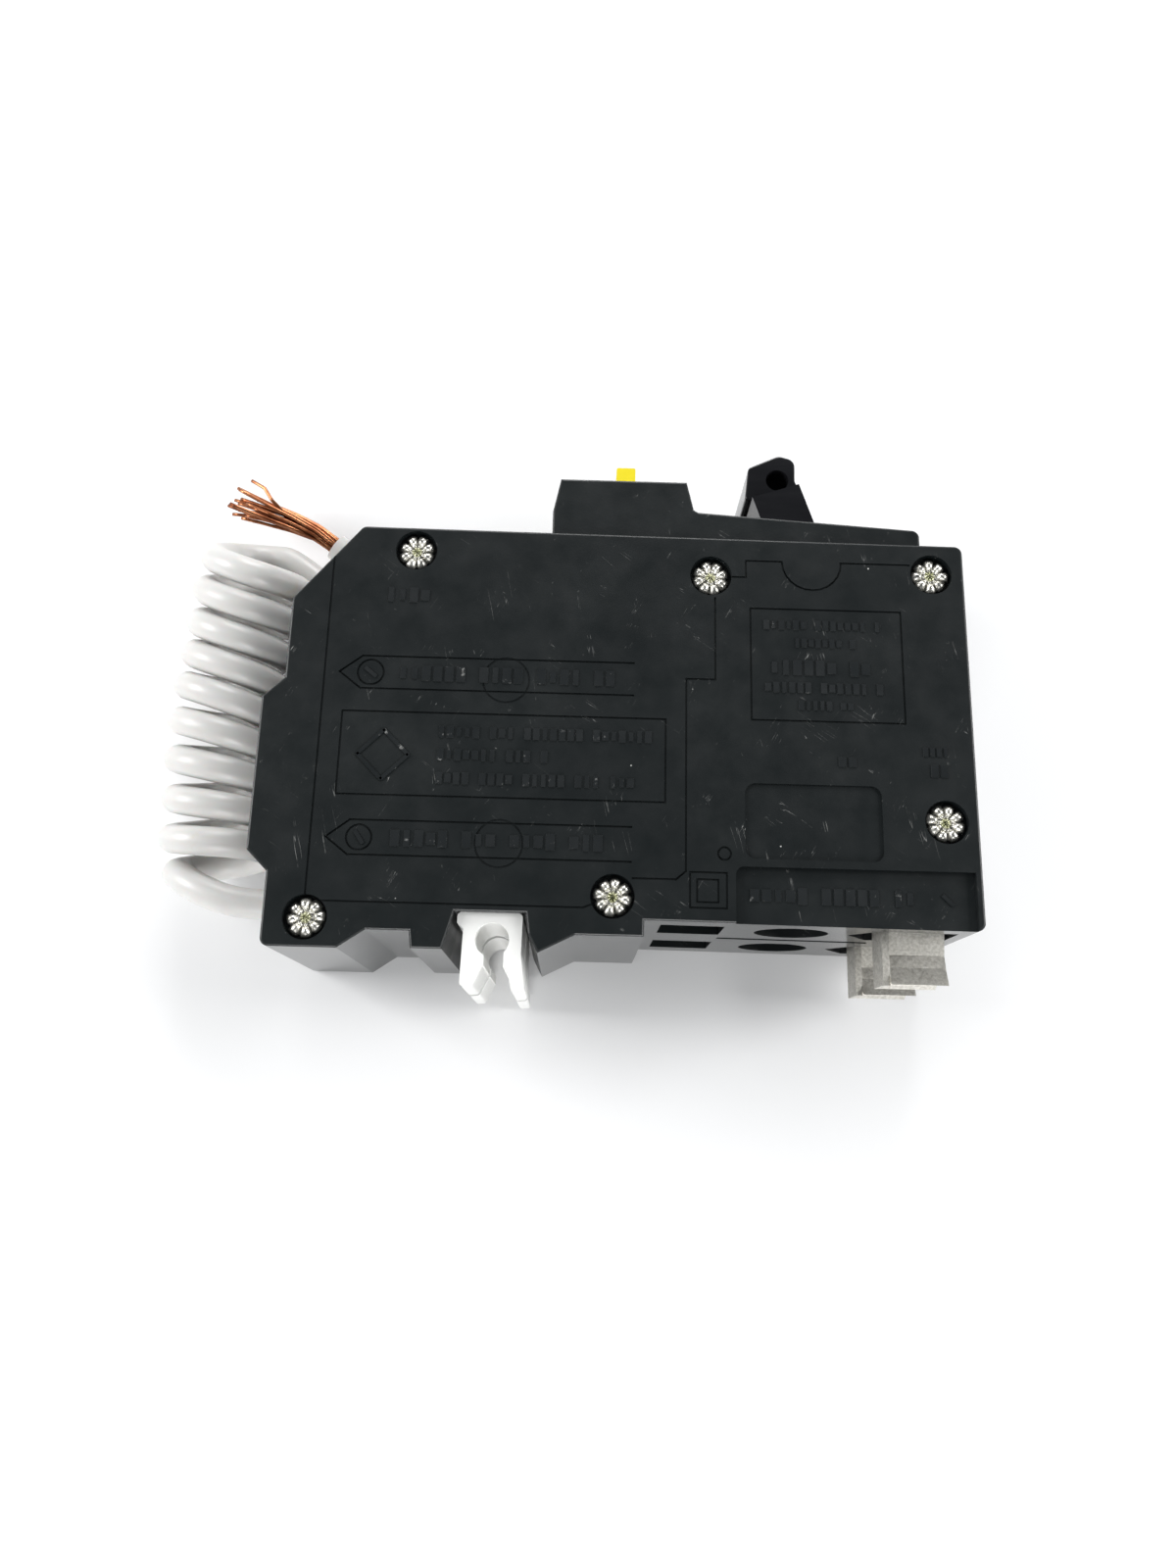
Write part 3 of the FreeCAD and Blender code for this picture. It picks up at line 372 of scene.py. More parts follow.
# ------------------------------------------------------------------ finishes
@dataclass(frozen=True)
class MouldedPlastic:
    """Plastic with a fine mould grain, cloudy gloss and a few pale rubs."""

    name: str
    colour: tuple[float, float, float]
    rough: float = 0.4
    grain: float = 0.00001
    grain_scale: float = 2500.0
    coat: float = 0.0
    rubs: float = 0.0

    def material(self) -> bpy.types.Material:
        """Builds the material; tone and gloss drift with soft noise."""
        shade = Shade(self.name)
        cloud = shade.noise(60.0, 4.0, 0.6)
        dark = tuple(c * 0.8 for c in self.colour)
        light = tuple(min(1.0, c * 1.15 + 0.002) for c in self.colour)
        base = shade.mix(cloud, dark, light)
        if self.rubs:
            rub = shade.ramp(shade.noise(420.0, 6.0, 0.75), (0.62, 0.0), (0.72, self.rubs))
            base = shade.mix(rub, base, (0.55, 0.55, 0.53))
        gloss = shade.noise(140.0, 3.0, 0.6)
        rough = shade.ramp(gloss, (0.3, self.rough * 0.82), (0.7, min(1.0, self.rough * 1.2)))
        shade.set(Base_Color=base, Roughness=rough, Coat_Weight=self.coat, Coat_Roughness=0.12)
        shade.bump(shade.noise(self.grain_scale, 2.0, 0.6), self.grain)
        return shade.material


@dataclass(frozen=True)
class CaseBlack:
    """Near-black moulded case: fine grain, thin pale scratches, pale specks and faint smears of dust."""

    name: str = "case_black"

    def material(self) -> bpy.types.Material:
        """Builds the material.

        Scratches are thin lines where a stretched noise crosses its middle value, kept
        only in patches; specks are the middles of sparse cells.
        """
        shade = Shade(self.name)
        cloud = shade.noise(45.0, 5.0, 0.62)
        base = shade.mix(cloud, (0.0045, 0.0062, 0.0068), (0.0085, 0.0108, 0.0114))
        marks: object = 0.0
        for turn, seed in ((0.6, 31.0), (2.1, 47.0), (1.35, 23.0)):
            turned = shade.mapped((1.0, 1.0, 1.0), (0.0, 0.0, turn))
            stretched = shade.mapped((9.0, 150.0, 60.0), source=turned)
            wave = shade.noise(seed * 0.11, 3.0, 0.55, stretched)
            away = shade.math("ABSOLUTE", shade.math("SUBTRACT", wave, 0.5))
            line = shade.ramp(away, (0.0, 1.0), (0.003, 0.0))
            patch = shade.ramp(shade.noise(seed * 5.0, 4.0, 0.7), (0.6, 0.0), (0.7, 0.45))
            marks = shade.math("MAXIMUM", shade.math("MULTIPLY", line, patch), marks)
        speck = shade.ramp(shade.cells(420.0), (0.035, 1.0), (0.06, 0.0))
        where = shade.ramp(shade.noise(90.0, 4.0, 0.75), (0.6, 0.0), (0.66, 0.8))
        marks = shade.math("MAXIMUM", shade.math("MULTIPLY", speck, where), marks)
        smear = shade.ramp(shade.noise(28.0, 6.0, 0.7), (0.5, 0.0), (0.8, 0.03))
        base = shade.mix(smear, base, (0.3, 0.32, 0.31))
        base = shade.mix(marks, base, (0.62, 0.62, 0.6))
        rough = shade.ramp(shade.noise(160.0, 4.0, 0.6), (0.3, 0.34), (0.7, 0.46))
        back = shade.ramp(shade.math("MULTIPLY", shade.facing("Y"), -1.0), (0.4, 0.0), (0.8, 1.0))
        rough = shade.mix(back, rough, (0.16, 0.16, 0.16))
        shade.set(Base_Color=base, Roughness=rough, Specular_IOR_Level=0.42)
        shade.bump(shade.noise(3200.0, 3.0, 0.65), 0.000012)
        return shade.material


@dataclass(frozen=True)
class PlatedMetal:
    """Metal with a mottled plating and fine pitting."""

    name: str
    light: tuple[float, float, float]
    dark: tuple[float, float, float]
    rough: float = 0.35
    mottle: float = 400.0
    pits: float = 0.00002
    speckle: float = 0.0

    def material(self) -> bpy.types.Material:
        """Builds the material; two tones mixed by noise, with dark speckles if asked."""
        shade = Shade(self.name)
        tone = shade.ramp(shade.noise(self.mottle, 5.0, 0.65), (0.36, self.dark), (0.62, self.light))
        if self.speckle:
            dots = shade.ramp(shade.noise(self.mottle * 4.0, 4.0, 0.8), (0.6, 0.0), (0.68, self.speckle))
            tone = shade.mix(dots, tone, tuple(c * 0.25 for c in self.dark))
        gloss = shade.noise(self.mottle * 1.7, 3.0)
        rough = shade.ramp(gloss, (0.3, self.rough * 0.75), (0.7, self.rough * 1.35))
        shade.set(Base_Color=tone, Roughness=rough, Metallic=1.0)
        shade.bump(shade.noise(self.mottle * 5.0, 4.0, 0.7), self.pits)
        return shade.material


@dataclass(frozen=True)
class WhiteCover:
    """The wire's white covering: slightly translucent, grubby in patches, faint yellow stains."""

    name: str = "wire_white"

    def material(self) -> bpy.types.Material:
        """Builds the material; grey film and stains follow soft noise."""
        shade = Shade(self.name)
        film = shade.ramp(shade.noise(70.0, 5.0, 0.7), (0.45, 0.0), (0.75, 0.35))
        base = shade.mix(film, (0.62, 0.612, 0.595), (0.46, 0.45, 0.425))
        blotch = shade.noise(110.0, 4.0, 0.65, shade.mapped((1.0, 0.7, 1.4)))
        stain = shade.ramp(blotch, (0.64, 0.0), (0.74, 0.3))
        base = shade.mix(stain, base, (0.52, 0.44, 0.22))
        rough = shade.ramp(shade.noise(220.0, 3.0), (0.3, 0.3), (0.7, 0.42))
        shade.set(Base_Color=base, Roughness=rough, Subsurface_Weight=0.12, Subsurface_Scale=0.001)
        shade.bump(shade.noise(900.0, 3.0, 0.6), 0.00002)
        return shade.material


@dataclass(frozen=True)
class BareCopper:
    """Stranded copper, dull red-brown with bright rubbed stretches, brighter towards its tip."""

    name: str = "bare_copper"
    gain_per_metre: float = -28.0
    gain_at_origin: float = -1.35
    least_gain: float = -0.25
    most_gain: float = 0.06

    def material(self) -> bpy.types.Material:
        """Builds the material; bright and tarnished tones mixed by noise."""
        shade = Shade(self.name)
        patch = shade.noise(260.0, 4.0, 0.6)
        gain = shade.math("MULTIPLY", shade.axis("X"), self.gain_per_metre)
        gain = shade.math("MAXIMUM", shade.math("ADD", gain, self.gain_at_origin), self.least_gain)
        patch = shade.math("ADD", patch, shade.math("MINIMUM", gain, self.most_gain))
        dark, dull, bright = (0.05, 0.012, 0.006), (0.22, 0.07, 0.03), (0.62, 0.27, 0.13)
        tone = shade.ramp(patch, (0.2, dark), (0.45, dull), (0.75, bright))
        shade.set(Base_Color=tone, Metallic=1.0, Roughness=shade.ramp(patch, (0.3, 0.42), (0.7, 0.24)))
        shade.bump(shade.noise(3000.0, 2.0), 0.00001)
        return shade.material


@dataclass(frozen=True)
class WoundWire:
    """Fine enamelled wire wound round an X axis; its turns are ridges along X."""

    name: str = "winding"
    radians_per_metre: float = 22000.0

    def material(self) -> bpy.types.Material:
        """Builds the material; ridges are a sine of X."""
        shade = Shade(self.name)
        ridge = shade.math("SINE", shade.math("MULTIPLY", shade.axis("X"), self.radians_per_metre))
        tone = shade.mix(shade.noise(500.0), (0.32, 0.1, 0.03), (0.62, 0.26, 0.09))
        shade.set(Base_Color=tone, Metallic=0.8, Roughness=0.34)
        shade.bump(ridge, 0.00008)
        return shade.material


@dataclass(frozen=True)
class GlossBlack:
    """Glossy black handle plastic with hairline scratches."""

    name: str = "handle_black"

    def material(self) -> bpy.types.Material:
        """Builds the material; scratches only change the gloss."""
        shade = Shade(self.name)
        fine = shade.noise(60.0, 5.0, 0.7, shade.mapped((1.0, 6.0, 1.0)))
        base = shade.mix(shade.noise(120.0, 4.0), (0.006, 0.006, 0.007), (0.012, 0.012, 0.014))
        rough = shade.ramp(fine, (0.35, 0.14), (0.7, 0.26))
        shade.set(Base_Color=base, Roughness=rough, Specular_IOR_Level=0.5)
        shade.bump(shade.noise(1500.0, 3.0, 0.6), 0.000006)
        return shade.material


class Finish(Enum):
    """Every finish used on the breaker."""

    CASE = CaseBlack()
    HANDLE = GlossBlack()
    MARK = MouldedPlastic("mark_black", (0.009, 0.011, 0.012), 0.36, 0.00001, 3000.0, 0.0, 0.5)
    RIVET = PlatedMetal("rivet_metal", (0.84, 0.82, 0.76), (0.58, 0.57, 0.52), 0.32, 700.0, 0.00003)
    DIMPLE = PlatedMetal("rivet_middle", (0.74, 0.74, 0.58), (0.34, 0.35, 0.2), 0.3, 1200.0, 0.00005)
    NYLON = MouldedPlastic("clip_nylon", (0.83, 0.83, 0.81), 0.42, 0.00001, 900.0)
    JAW = PlatedMetal("jaw_plating", (0.74, 0.72, 0.67), (0.52, 0.5, 0.45), 0.5, 2200.0, 0.00004, 0.7)
    SILVER = PlatedMetal("contact_silver", (0.84, 0.83, 0.8), (0.6, 0.59, 0.56), 0.22, 300.0)
    STEEL = PlatedMetal("zinc_steel", (0.6, 0.62, 0.63), (0.42, 0.43, 0.44), 0.3, 260.0)
    SCREW = PlatedMetal("screw_steel", (0.66, 0.64, 0.58), (0.4, 0.39, 0.34), 0.32, 420.0, 0.00003)
    BAR = PlatedMetal("copper_bar", (0.78, 0.42, 0.26), (0.5, 0.22, 0.12), 0.32, 260.0)
    BIMETAL = PlatedMetal("bimetal_strip", (0.62, 0.56, 0.46), (0.42, 0.37, 0.3), 0.38, 200.0)
    BOARD = MouldedPlastic("board_green", (0.02, 0.13, 0.05), 0.3, 0.00001, 1200.0, 0.3)
    PARTS = MouldedPlastic("board_part_grey", (0.05, 0.05, 0.055), 0.35)
    TAPE = MouldedPlastic("toroid_tape", (0.5, 0.34, 0.06), 0.35, 0.00004, 500.0)
    WINDING = WoundWire()
    BOBBIN = MouldedPlastic("bobbin_nylon", (0.72, 0.7, 0.64), 0.42)
    TRIP = MouldedPlastic("trip_bar_red", (0.42, 0.05, 0.03), 0.4)
    LEAD = MouldedPlastic("lead_black", (0.015, 0.015, 0.015), 0.38)
    YELLOW = MouldedPlastic("button_yellow", (0.93, 0.74, 0.02), 0.36, 0.00001, 1500.0, 0.1)
    WIRE = WhiteCover()
    COPPER = BareCopper()

    def get(self) -> bpy.types.Material:
        """The finish's material, made the first time it is asked for.

        Returns:
            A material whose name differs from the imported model's own materials.
        """
        name = f"look_{self.value.name}"
        found = bpy.data.materials.get(name)
        if found is None:
            found = self.value.material()
            found.name = name
        return found


def coat(piece: bpy.types.Object, finish: Finish) -> None:
    """Gives every face of a piece one finish.

    Args:
        piece: the object.
        finish: its finish.
    """
    if not piece.data.materials:
        piece.data.materials.append(None)
    for slot in piece.material_slots:
        slot.material = finish.get()


@dataclass
class CadDressing:
    """Finishes for the CAD nodes that are shown as they are."""

    poles: tuple[str, ...] = ("near", "far")
    lugs: tuple[str, ...] = ("near", "far", "neutral")

    def each(self, *stems: str) -> list[str]:
        """Names of each stem's near and far node."""
        return [f"{stem}_{pole}" for stem in stems for pole in self.poles]

    def lug(self, stem: str) -> list[str]:
        """Names of a stem's node at each of the three lugs."""
        return [f"{stem}_{lug}" for lug in self.lugs]

    def plan(self) -> dict[Finish, list[str]]:
        """Which nodes take which finish.

        Returns:
            Finish to node names.
        """
        return {
            Finish.CASE: ["near_cover", "center_case", "far_cover", "test_contact_holder", "wire_grommet"],
            Finish.HANDLE: ["handle"],
            Finish.NYLON: self.each("rail_clip"),
            Finish.JAW: self.each("line_jaw"),
            Finish.SILVER: self.each("fixed_contact", "moving_contact"),
            Finish.STEEL: [
                *self.each("arc_chute", "cradle", "armature", "magnet_yoke"), "handle_pin", "arm_pin",
                "trip_pin", "cradle_pin", "button_spring", "solenoid_plunger", "test_leaf",
                *self.lug("lug_cage"),
            ],
            Finish.SCREW: ["calibration_screws", *self.lug("lug_screw")],
            Finish.BAR: [*self.each("contact_arm"), *self.lug("load_bar")],
            Finish.BIMETAL: self.each("bimetal"),
            Finish.BOARD: ["circuit_board"],
            Finish.PARTS: ["board_components"],
            Finish.TAPE: ["sensing_toroid", "grounded_neutral_toroid"],
            Finish.WINDING: ["solenoid_coil"],
            Finish.BOBBIN: ["solenoid_bobbin", "solenoid_saddle"],
            Finish.TRIP: ["trip_bar"],
            Finish.LEAD: [*self.each("load_lead"), "neutral_lead"],
            Finish.YELLOW: ["test_button"],
            Finish.WIRE: ["pigtail_inner"],
        }

    def dress(self) -> None:
        """Assigns the finishes."""
        for finish, names in self.plan().items():
            for name in names:
                coat(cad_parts[name], finish)
                LOG.info("%s wears %s", name, finish.name)


# ------------------------------------------------------------------ pigtail
@dataclass
class Pigtail:
    """The white neutral wire: out of the load end, round in a loose coil, bare at its tip.

    The fields that end in _mm, and the points in the methods, are in mm.
    """

    diameter: float = 4.7 * MM
    length: float = 0.49
    turn_count: int = 11
    turn_steps: int = 14
    first_place: float = 0.295
    last_place_short: float = 0.4
    coil_radius: float = 7.55 * MM
    radius_swing: float = 0.02
    radius_swing_rate: float = 1.7
    first_below_mm: float = 1.8
    pitch_mm: float = 5.55
    bunch_mm: float = 0.6
    bunch_rate: float = 0.84
    bunch_place: float = 2.6
    axis_heights_mm: tuple[float, float] = (10.2, 13.4)
    strand_radius: float = 0.31 * MM
    strands: int = 19
    inner_strands: int = 6
    ring_radii: tuple[float, float] = (0.6 * MM, 1.15 * MM)
    strand_seed: int = 7
    spine_steps: int = 26
    strand_steps: int = 22
    strand_sides: int = 8

    def turns(self) -> dict[str, np.ndarray]:
        """How each turn lies, from the case end of the wire to its bare end.

        The turns are a little closer in the coil's forward half, and lean more there.

        Returns:
            For every turn: the height of its near side along Y, how far its far side is
            forward of its near side, how far its left side is forward of its right side,
            and the place of its middle in X.
        """
        low = cad_box("pigtail_coil")[0][1] / MM
        turn = np.arange(self.turn_count)
        bunch = self.bunch_mm * np.sin(self.bunch_rate * (turn - self.bunch_place))
        return {
            "near": (low - self.first_below_mm + self.pitch_mm * turn + bunch) * MM,
            "far": np.interp(turn, [0, 5, 8, 10], [0.85, 0.75, 2.5, 2.7]) * MM,
            "left": np.interp(turn, [1, 5, 10], [-0.6, 1.7, 1.4]) * MM,
            "x": np.interp(turn, [0, 3.5, 7, 10], [-62.7, -63.9, -62.6, -60.4]) * MM,
        }

    def route(self) -> np.ndarray:
        """The wire's control points from the case to the end of its covering.

        The first run repeats the model's route; the coil adds points at even angles, and
        the last points are the loop that ends under the bare strands.

        Returns:
            An (n, 3) array in metres.
        """
        lead = np.array([
            [-49.75, -29.12, 17.0], [-54.25, -29.12, 17.1], [-59.5, -28.6, 17.6], [-64.6, -26.6, 17.0],
            [-68.6, -24.2, 14.2],
        ]) * MM
        turns = self.turns()
        last = self.turn_count - 1
        place = np.arange(self.first_place, last - self.last_place_short, 1.0 / self.turn_steps)
        angle = math.pi / 2 + place * math.tau
        near, far, left, axis_x = (
            np.interp(place, np.arange(self.turn_count), turns[key]) for key in ("near", "far", "left", "x")
        )
        axis_z = np.interp(place, [0, last], self.axis_heights_mm) * MM
        radius = self.coil_radius * (1.0 + self.radius_swing * np.sin(place * self.radius_swing_rate))
        coil = np.stack([
            axis_x + radius * np.cos(angle),
            near + far * (1.0 - np.sin(angle)) - left * np.cos(angle),
            axis_z + radius * np.sin(angle),
        ], axis=1)
        tail = np.array([
            [-49.6, 27.0, 6.6], [-46.4, 28.6, 6.8], [-45.8, 31.6, 7.2], [-47.2, 33.6, 7.7],
            [-49.2, 35.0, 8.0],
        ]) * MM
        return np.concatenate([lead, coil, tail])

    def wire(self) -> bpy.types.Object:
        """The covered wire as one round NURBS curve.

        Returns:
            The curve object.
        """
        points = self.route()
        curve = bpy.data.curves.new("pigtail_wire", "CURVE")
        curve.dimensions = "3D"
        curve.bevel_depth = self.diameter / 2
        curve.bevel_resolution = 7
        curve.resolution_u = 5
        curve.use_fill_caps = True
        spline = curve.splines.new("NURBS")
        spline.points.add(len(points) - 1)
        spline.points.foreach_set("co", np.hstack([points, np.ones((len(points), 1))]).ravel())
        spline.order_u = 3
        spline.use_endpoint_u = True
        piece = bpy.data.objects.new("pigtail_wire", curve)
        bpy.context.scene.collection.objects.link(piece)
        coat(piece, Finish.WIRE)
        return piece

    def strand_paths(self) -> list[np.ndarray]:
        """Centrelines of the bare strands, bundled at the covering and fanned at the tips.

        Each strand keeps its place in the bundle, spread by the square of the way along,
        with a slow twist.

        Returns:
            A list of (n, 3) arrays.
        """
        spine = np.array([
            [-47.4, 33.2, 7.5], [-49.3, 35.2, 8.0], [-52.6, 37.4, 8.2], [-57.0, 39.4, 8.0],
            [-62.5, 41.4, 7.6], [-69.4, 43.8, 6.6],
        ]) * MM
        rng = np.random.default_rng(self.strand_seed)
        along = np.linspace(0.0, 1.0, self.spine_steps)
        line = resample(spine, len(along))
        side, other = frames_along(line)
        paths = []
        for index in range(self.strands):
            ring = 0.0 if index == 0 else self.ring_radii[index > self.inner_strands]
            turn = index * 2.4 + along * 1.5
            spread = 1.0 + along**2 * (0.6 + 1.3 * rng.random())
            drift = rng.normal(0.0, 0.55, 2) * MM
            reach = 1.0 - 0.22 * rng.random()
            offset = ring * spread
            path = (
                line
                + side * (offset * np.cos(turn) + drift[0] * along**3)[:, None]
                + other * (offset * 0.8 * np.sin(turn) + drift[1] * along**3)[:, None]
            )
            paths.append(resample(path[: int(len(along) * reach)], self.strand_steps))
        stray = resample(np.array([
            [-58.2, 40.4, 8.6], [-61.0, 43.0, 9.4], [-62.6, 45.4, 9.2], [-65.2, 47.2, 8.2],
        ]) * MM, self.strand_steps)
        return [*paths, stray]

    def copper(self) -> bpy.types.Object:
        """All bare strands as closed round tubes in one piece.

        Returns:
            The mesh object.
        """
        points, faces, around = [], [], self.strand_sides
        for path in self.strand_paths():
            start = sum(len(part) for part in points)
            radius = np.full(len(path), self.strand_radius)
            points.append(tube_points(path, radius, around))
            faces += grid_faces(len(path), around, start).tolist()
            faces.append(list(range(start, start + around))[::-1])
            last = start + (len(path) - 1) * around
            faces.append(list(range(last, last + around)))
        piece = mesh_object("copper_strands", np.concatenate(points), faces)
        coat(piece, Finish.COPPER)
        return piece

    def build(self) -> None:
        wire = self.wire()
        copper = self.copper()
        for piece in (wire, copper):
            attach(piece, "case")
        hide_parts("pigtail_lead", "pigtail_coil")
        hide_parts("copper_end")
        LOG.info("pigtail: %d control points", len(self.route()))


# ------------------------------------------------------------------ rivets
@dataclass
class Rivets:
    """Six rivets whose ends are split and hammered out like flowers."""

    head_radius: float = 2.9 * MM
    shank_radius: float = 1.5 * MM
    petals: int = 8
    middle_rings: int = 6
    rings: int = 22
    around: int = 96
    shank_sides: int = 32
    rise: float = 1.15 * MM
    reach: float = 7.0 * MM
    size_spread: float = 0.07
    crack_depth: float = 0.16

    def places(self) -> np.ndarray:
        """Centres of the rivets, read from the CAD node's own corners.

        Returns:
            A (6, 2) array of X and Y.
        """
        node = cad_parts["case_rivets"].data
        flat = np.empty(len(node.vertices) * 3)
        node.vertices.foreach_get("co", flat)
        spots = flat.reshape(-1, 3)[:, :2]
        found: list[np.ndarray] = []
        while len(spots):
            close = np.linalg.norm(spots - spots[0], axis=1) < self.reach
            group = spots[close]
            found.append((group.min(axis=0) + group.max(axis=0)) / 2)
            spots = spots[~close]
        return np.array(found)

    def head(self, seed: int, turn: float) -> tuple[np.ndarray, np.ndarray]:
        """One flower head round the origin, rising along +Z from its seat.

        The outline swings in at each crack; the height is a low dome on each petal, a
        drop at each crack and a dimple in the middle.

        Args:
            seed: picks this head's unevenness.
            turn: rotation of the petals.

        Returns:
            Points and quads.
        """
        rng = np.random.default_rng(seed)
        angle = np.linspace(0.0, math.tau, self.around, endpoint=False)
        where = np.linspace(0.0, 1.0, self.rings)[:, None]
        cell = (angle * self.petals / math.tau + turn) % self.petals
        index = cell.astype(int) % self.petals
        local = np.abs(cell - np.floor(cell) - 0.5) * 2.0
        size = 1.0 + self.size_spread * (rng.random(self.petals) - 0.5)
        crack = np.clip((local - 0.7) / 0.3, 0.0, 1.0) ** 1.6
        bulge = np.cos(local * math.pi / 2)
        edge = self.head_radius * size[index] * (1.0 - self.crack_depth * crack) * (0.94 + 0.06 * bulge)
        radius = where * edge[None, :]
        opened = np.clip((where - 0.32) / 0.25, 0.0, 1.0)
        lift = (0.82 + 0.18 * rng.random(self.petals))[index]
        dome = np.sqrt(np.clip(1.0 - np.clip((where - 0.62) / 0.38, 0.0, 1.0) ** 2, 0.0, 1.0))
        swell = 0.55 + 0.45 * bulge[None, :]
        height = self.rise * dome * lift[None, :] * swell
        height *= 1.0 - 0.85 * crack[None, :] * opened
        middle = np.exp(-((where / 0.2) ** 2))
        ring = np.exp(-(((where - 0.36) / 0.1) ** 2))
        height = height * (1.0 - 0.5 * ring) * (1.0 - 0.15 * middle)
        height[-1] = 0.0
        points = np.stack([radius * np.cos(angle), radius * np.sin(angle), height], axis=-1).reshape(-1, 3)
        return points, grid_faces(self.rings, self.around)

    def build(self) -> None:
        """Makes near heads, far heads and shanks as one piece that replaces the CAD rivets."""
        low, high = cad_box("case_rivets")
        points, faces, dimples = [], [], []
        count = 0
        around, sides = self.around, self.shank_sides
        for number, (x, y) in enumerate(self.places()):
            for side, seat in ((1.0, high[2] - self.rise), (-1.0, low[2] + self.rise)):
                head, quads = self.head(11 + number * 2 + int(side < 0), number * 0.37)
                placed = head * [1.0, side, side] + [x, y, seat]
                points.append(np.concatenate([placed, [[x, y, seat]]]))
                dimples += range(len(faces), len(faces) + self.middle_rings * around)
                faces += (quads + count).tolist()
                seat_point = count + len(head)
                rim = seat_point - around
                faces += [[rim + i, seat_point, rim + (i + 1) % around] for i in range(around)]
                count = seat_point + 1
            turn = np.linspace(0.0, math.tau, sides, endpoint=False)
            radius = self.shank_radius
            ring = np.stack([x + radius * np.cos(turn), y + radius * np.sin(turn)], axis=1)
            ends = (low[2] + self.rise, high[2] - self.rise)
            points.append(np.concatenate([np.hstack([ring, np.full((sides, 1), z)]) for z in ends]))
            faces += grid_faces(2, sides, count).tolist()
            faces.append(list(range(count, count + sides))[::-1])
            faces.append(list(range(count + sides, count + 2 * sides)))
            count += 2 * sides
        piece = mesh_object("rivet_flowers", np.concatenate(points), faces)
        coat(piece, Finish.RIVET)
        piece.data.materials.append(Finish.DIMPLE.get())
        finish = np.zeros(len(faces), int)
        finish[dimples] = 1
        piece.data.polygons.foreach_set("material_index", finish)
        self.weld(piece)
        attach(piece, "case")
        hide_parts("case_rivets")

    @staticmethod
    def weld(piece: bpy.types.Object) -> None:
        """Merges doubled points at the poles and points every face outwards.

        Args:
            piece: the object to clean.
        """
        work = bmesh.new()
        work.from_mesh(piece.data)
        bmesh.ops.remove_doubles(work, verts=work.verts, dist=1e-7)
        bmesh.ops.recalc_face_normals(work, faces=work.faces)
        work.to_mesh(piece.data)
        work.free()


# ------------------------------------------------------------------ face marks
@dataclass(frozen=True)
class MarkRow:
    """One row of raised blocks on the near face, in mm from the line end and the back plane."""

    start: float
    end: float
    middle: float
    height: float
    sunk: float = 0.0


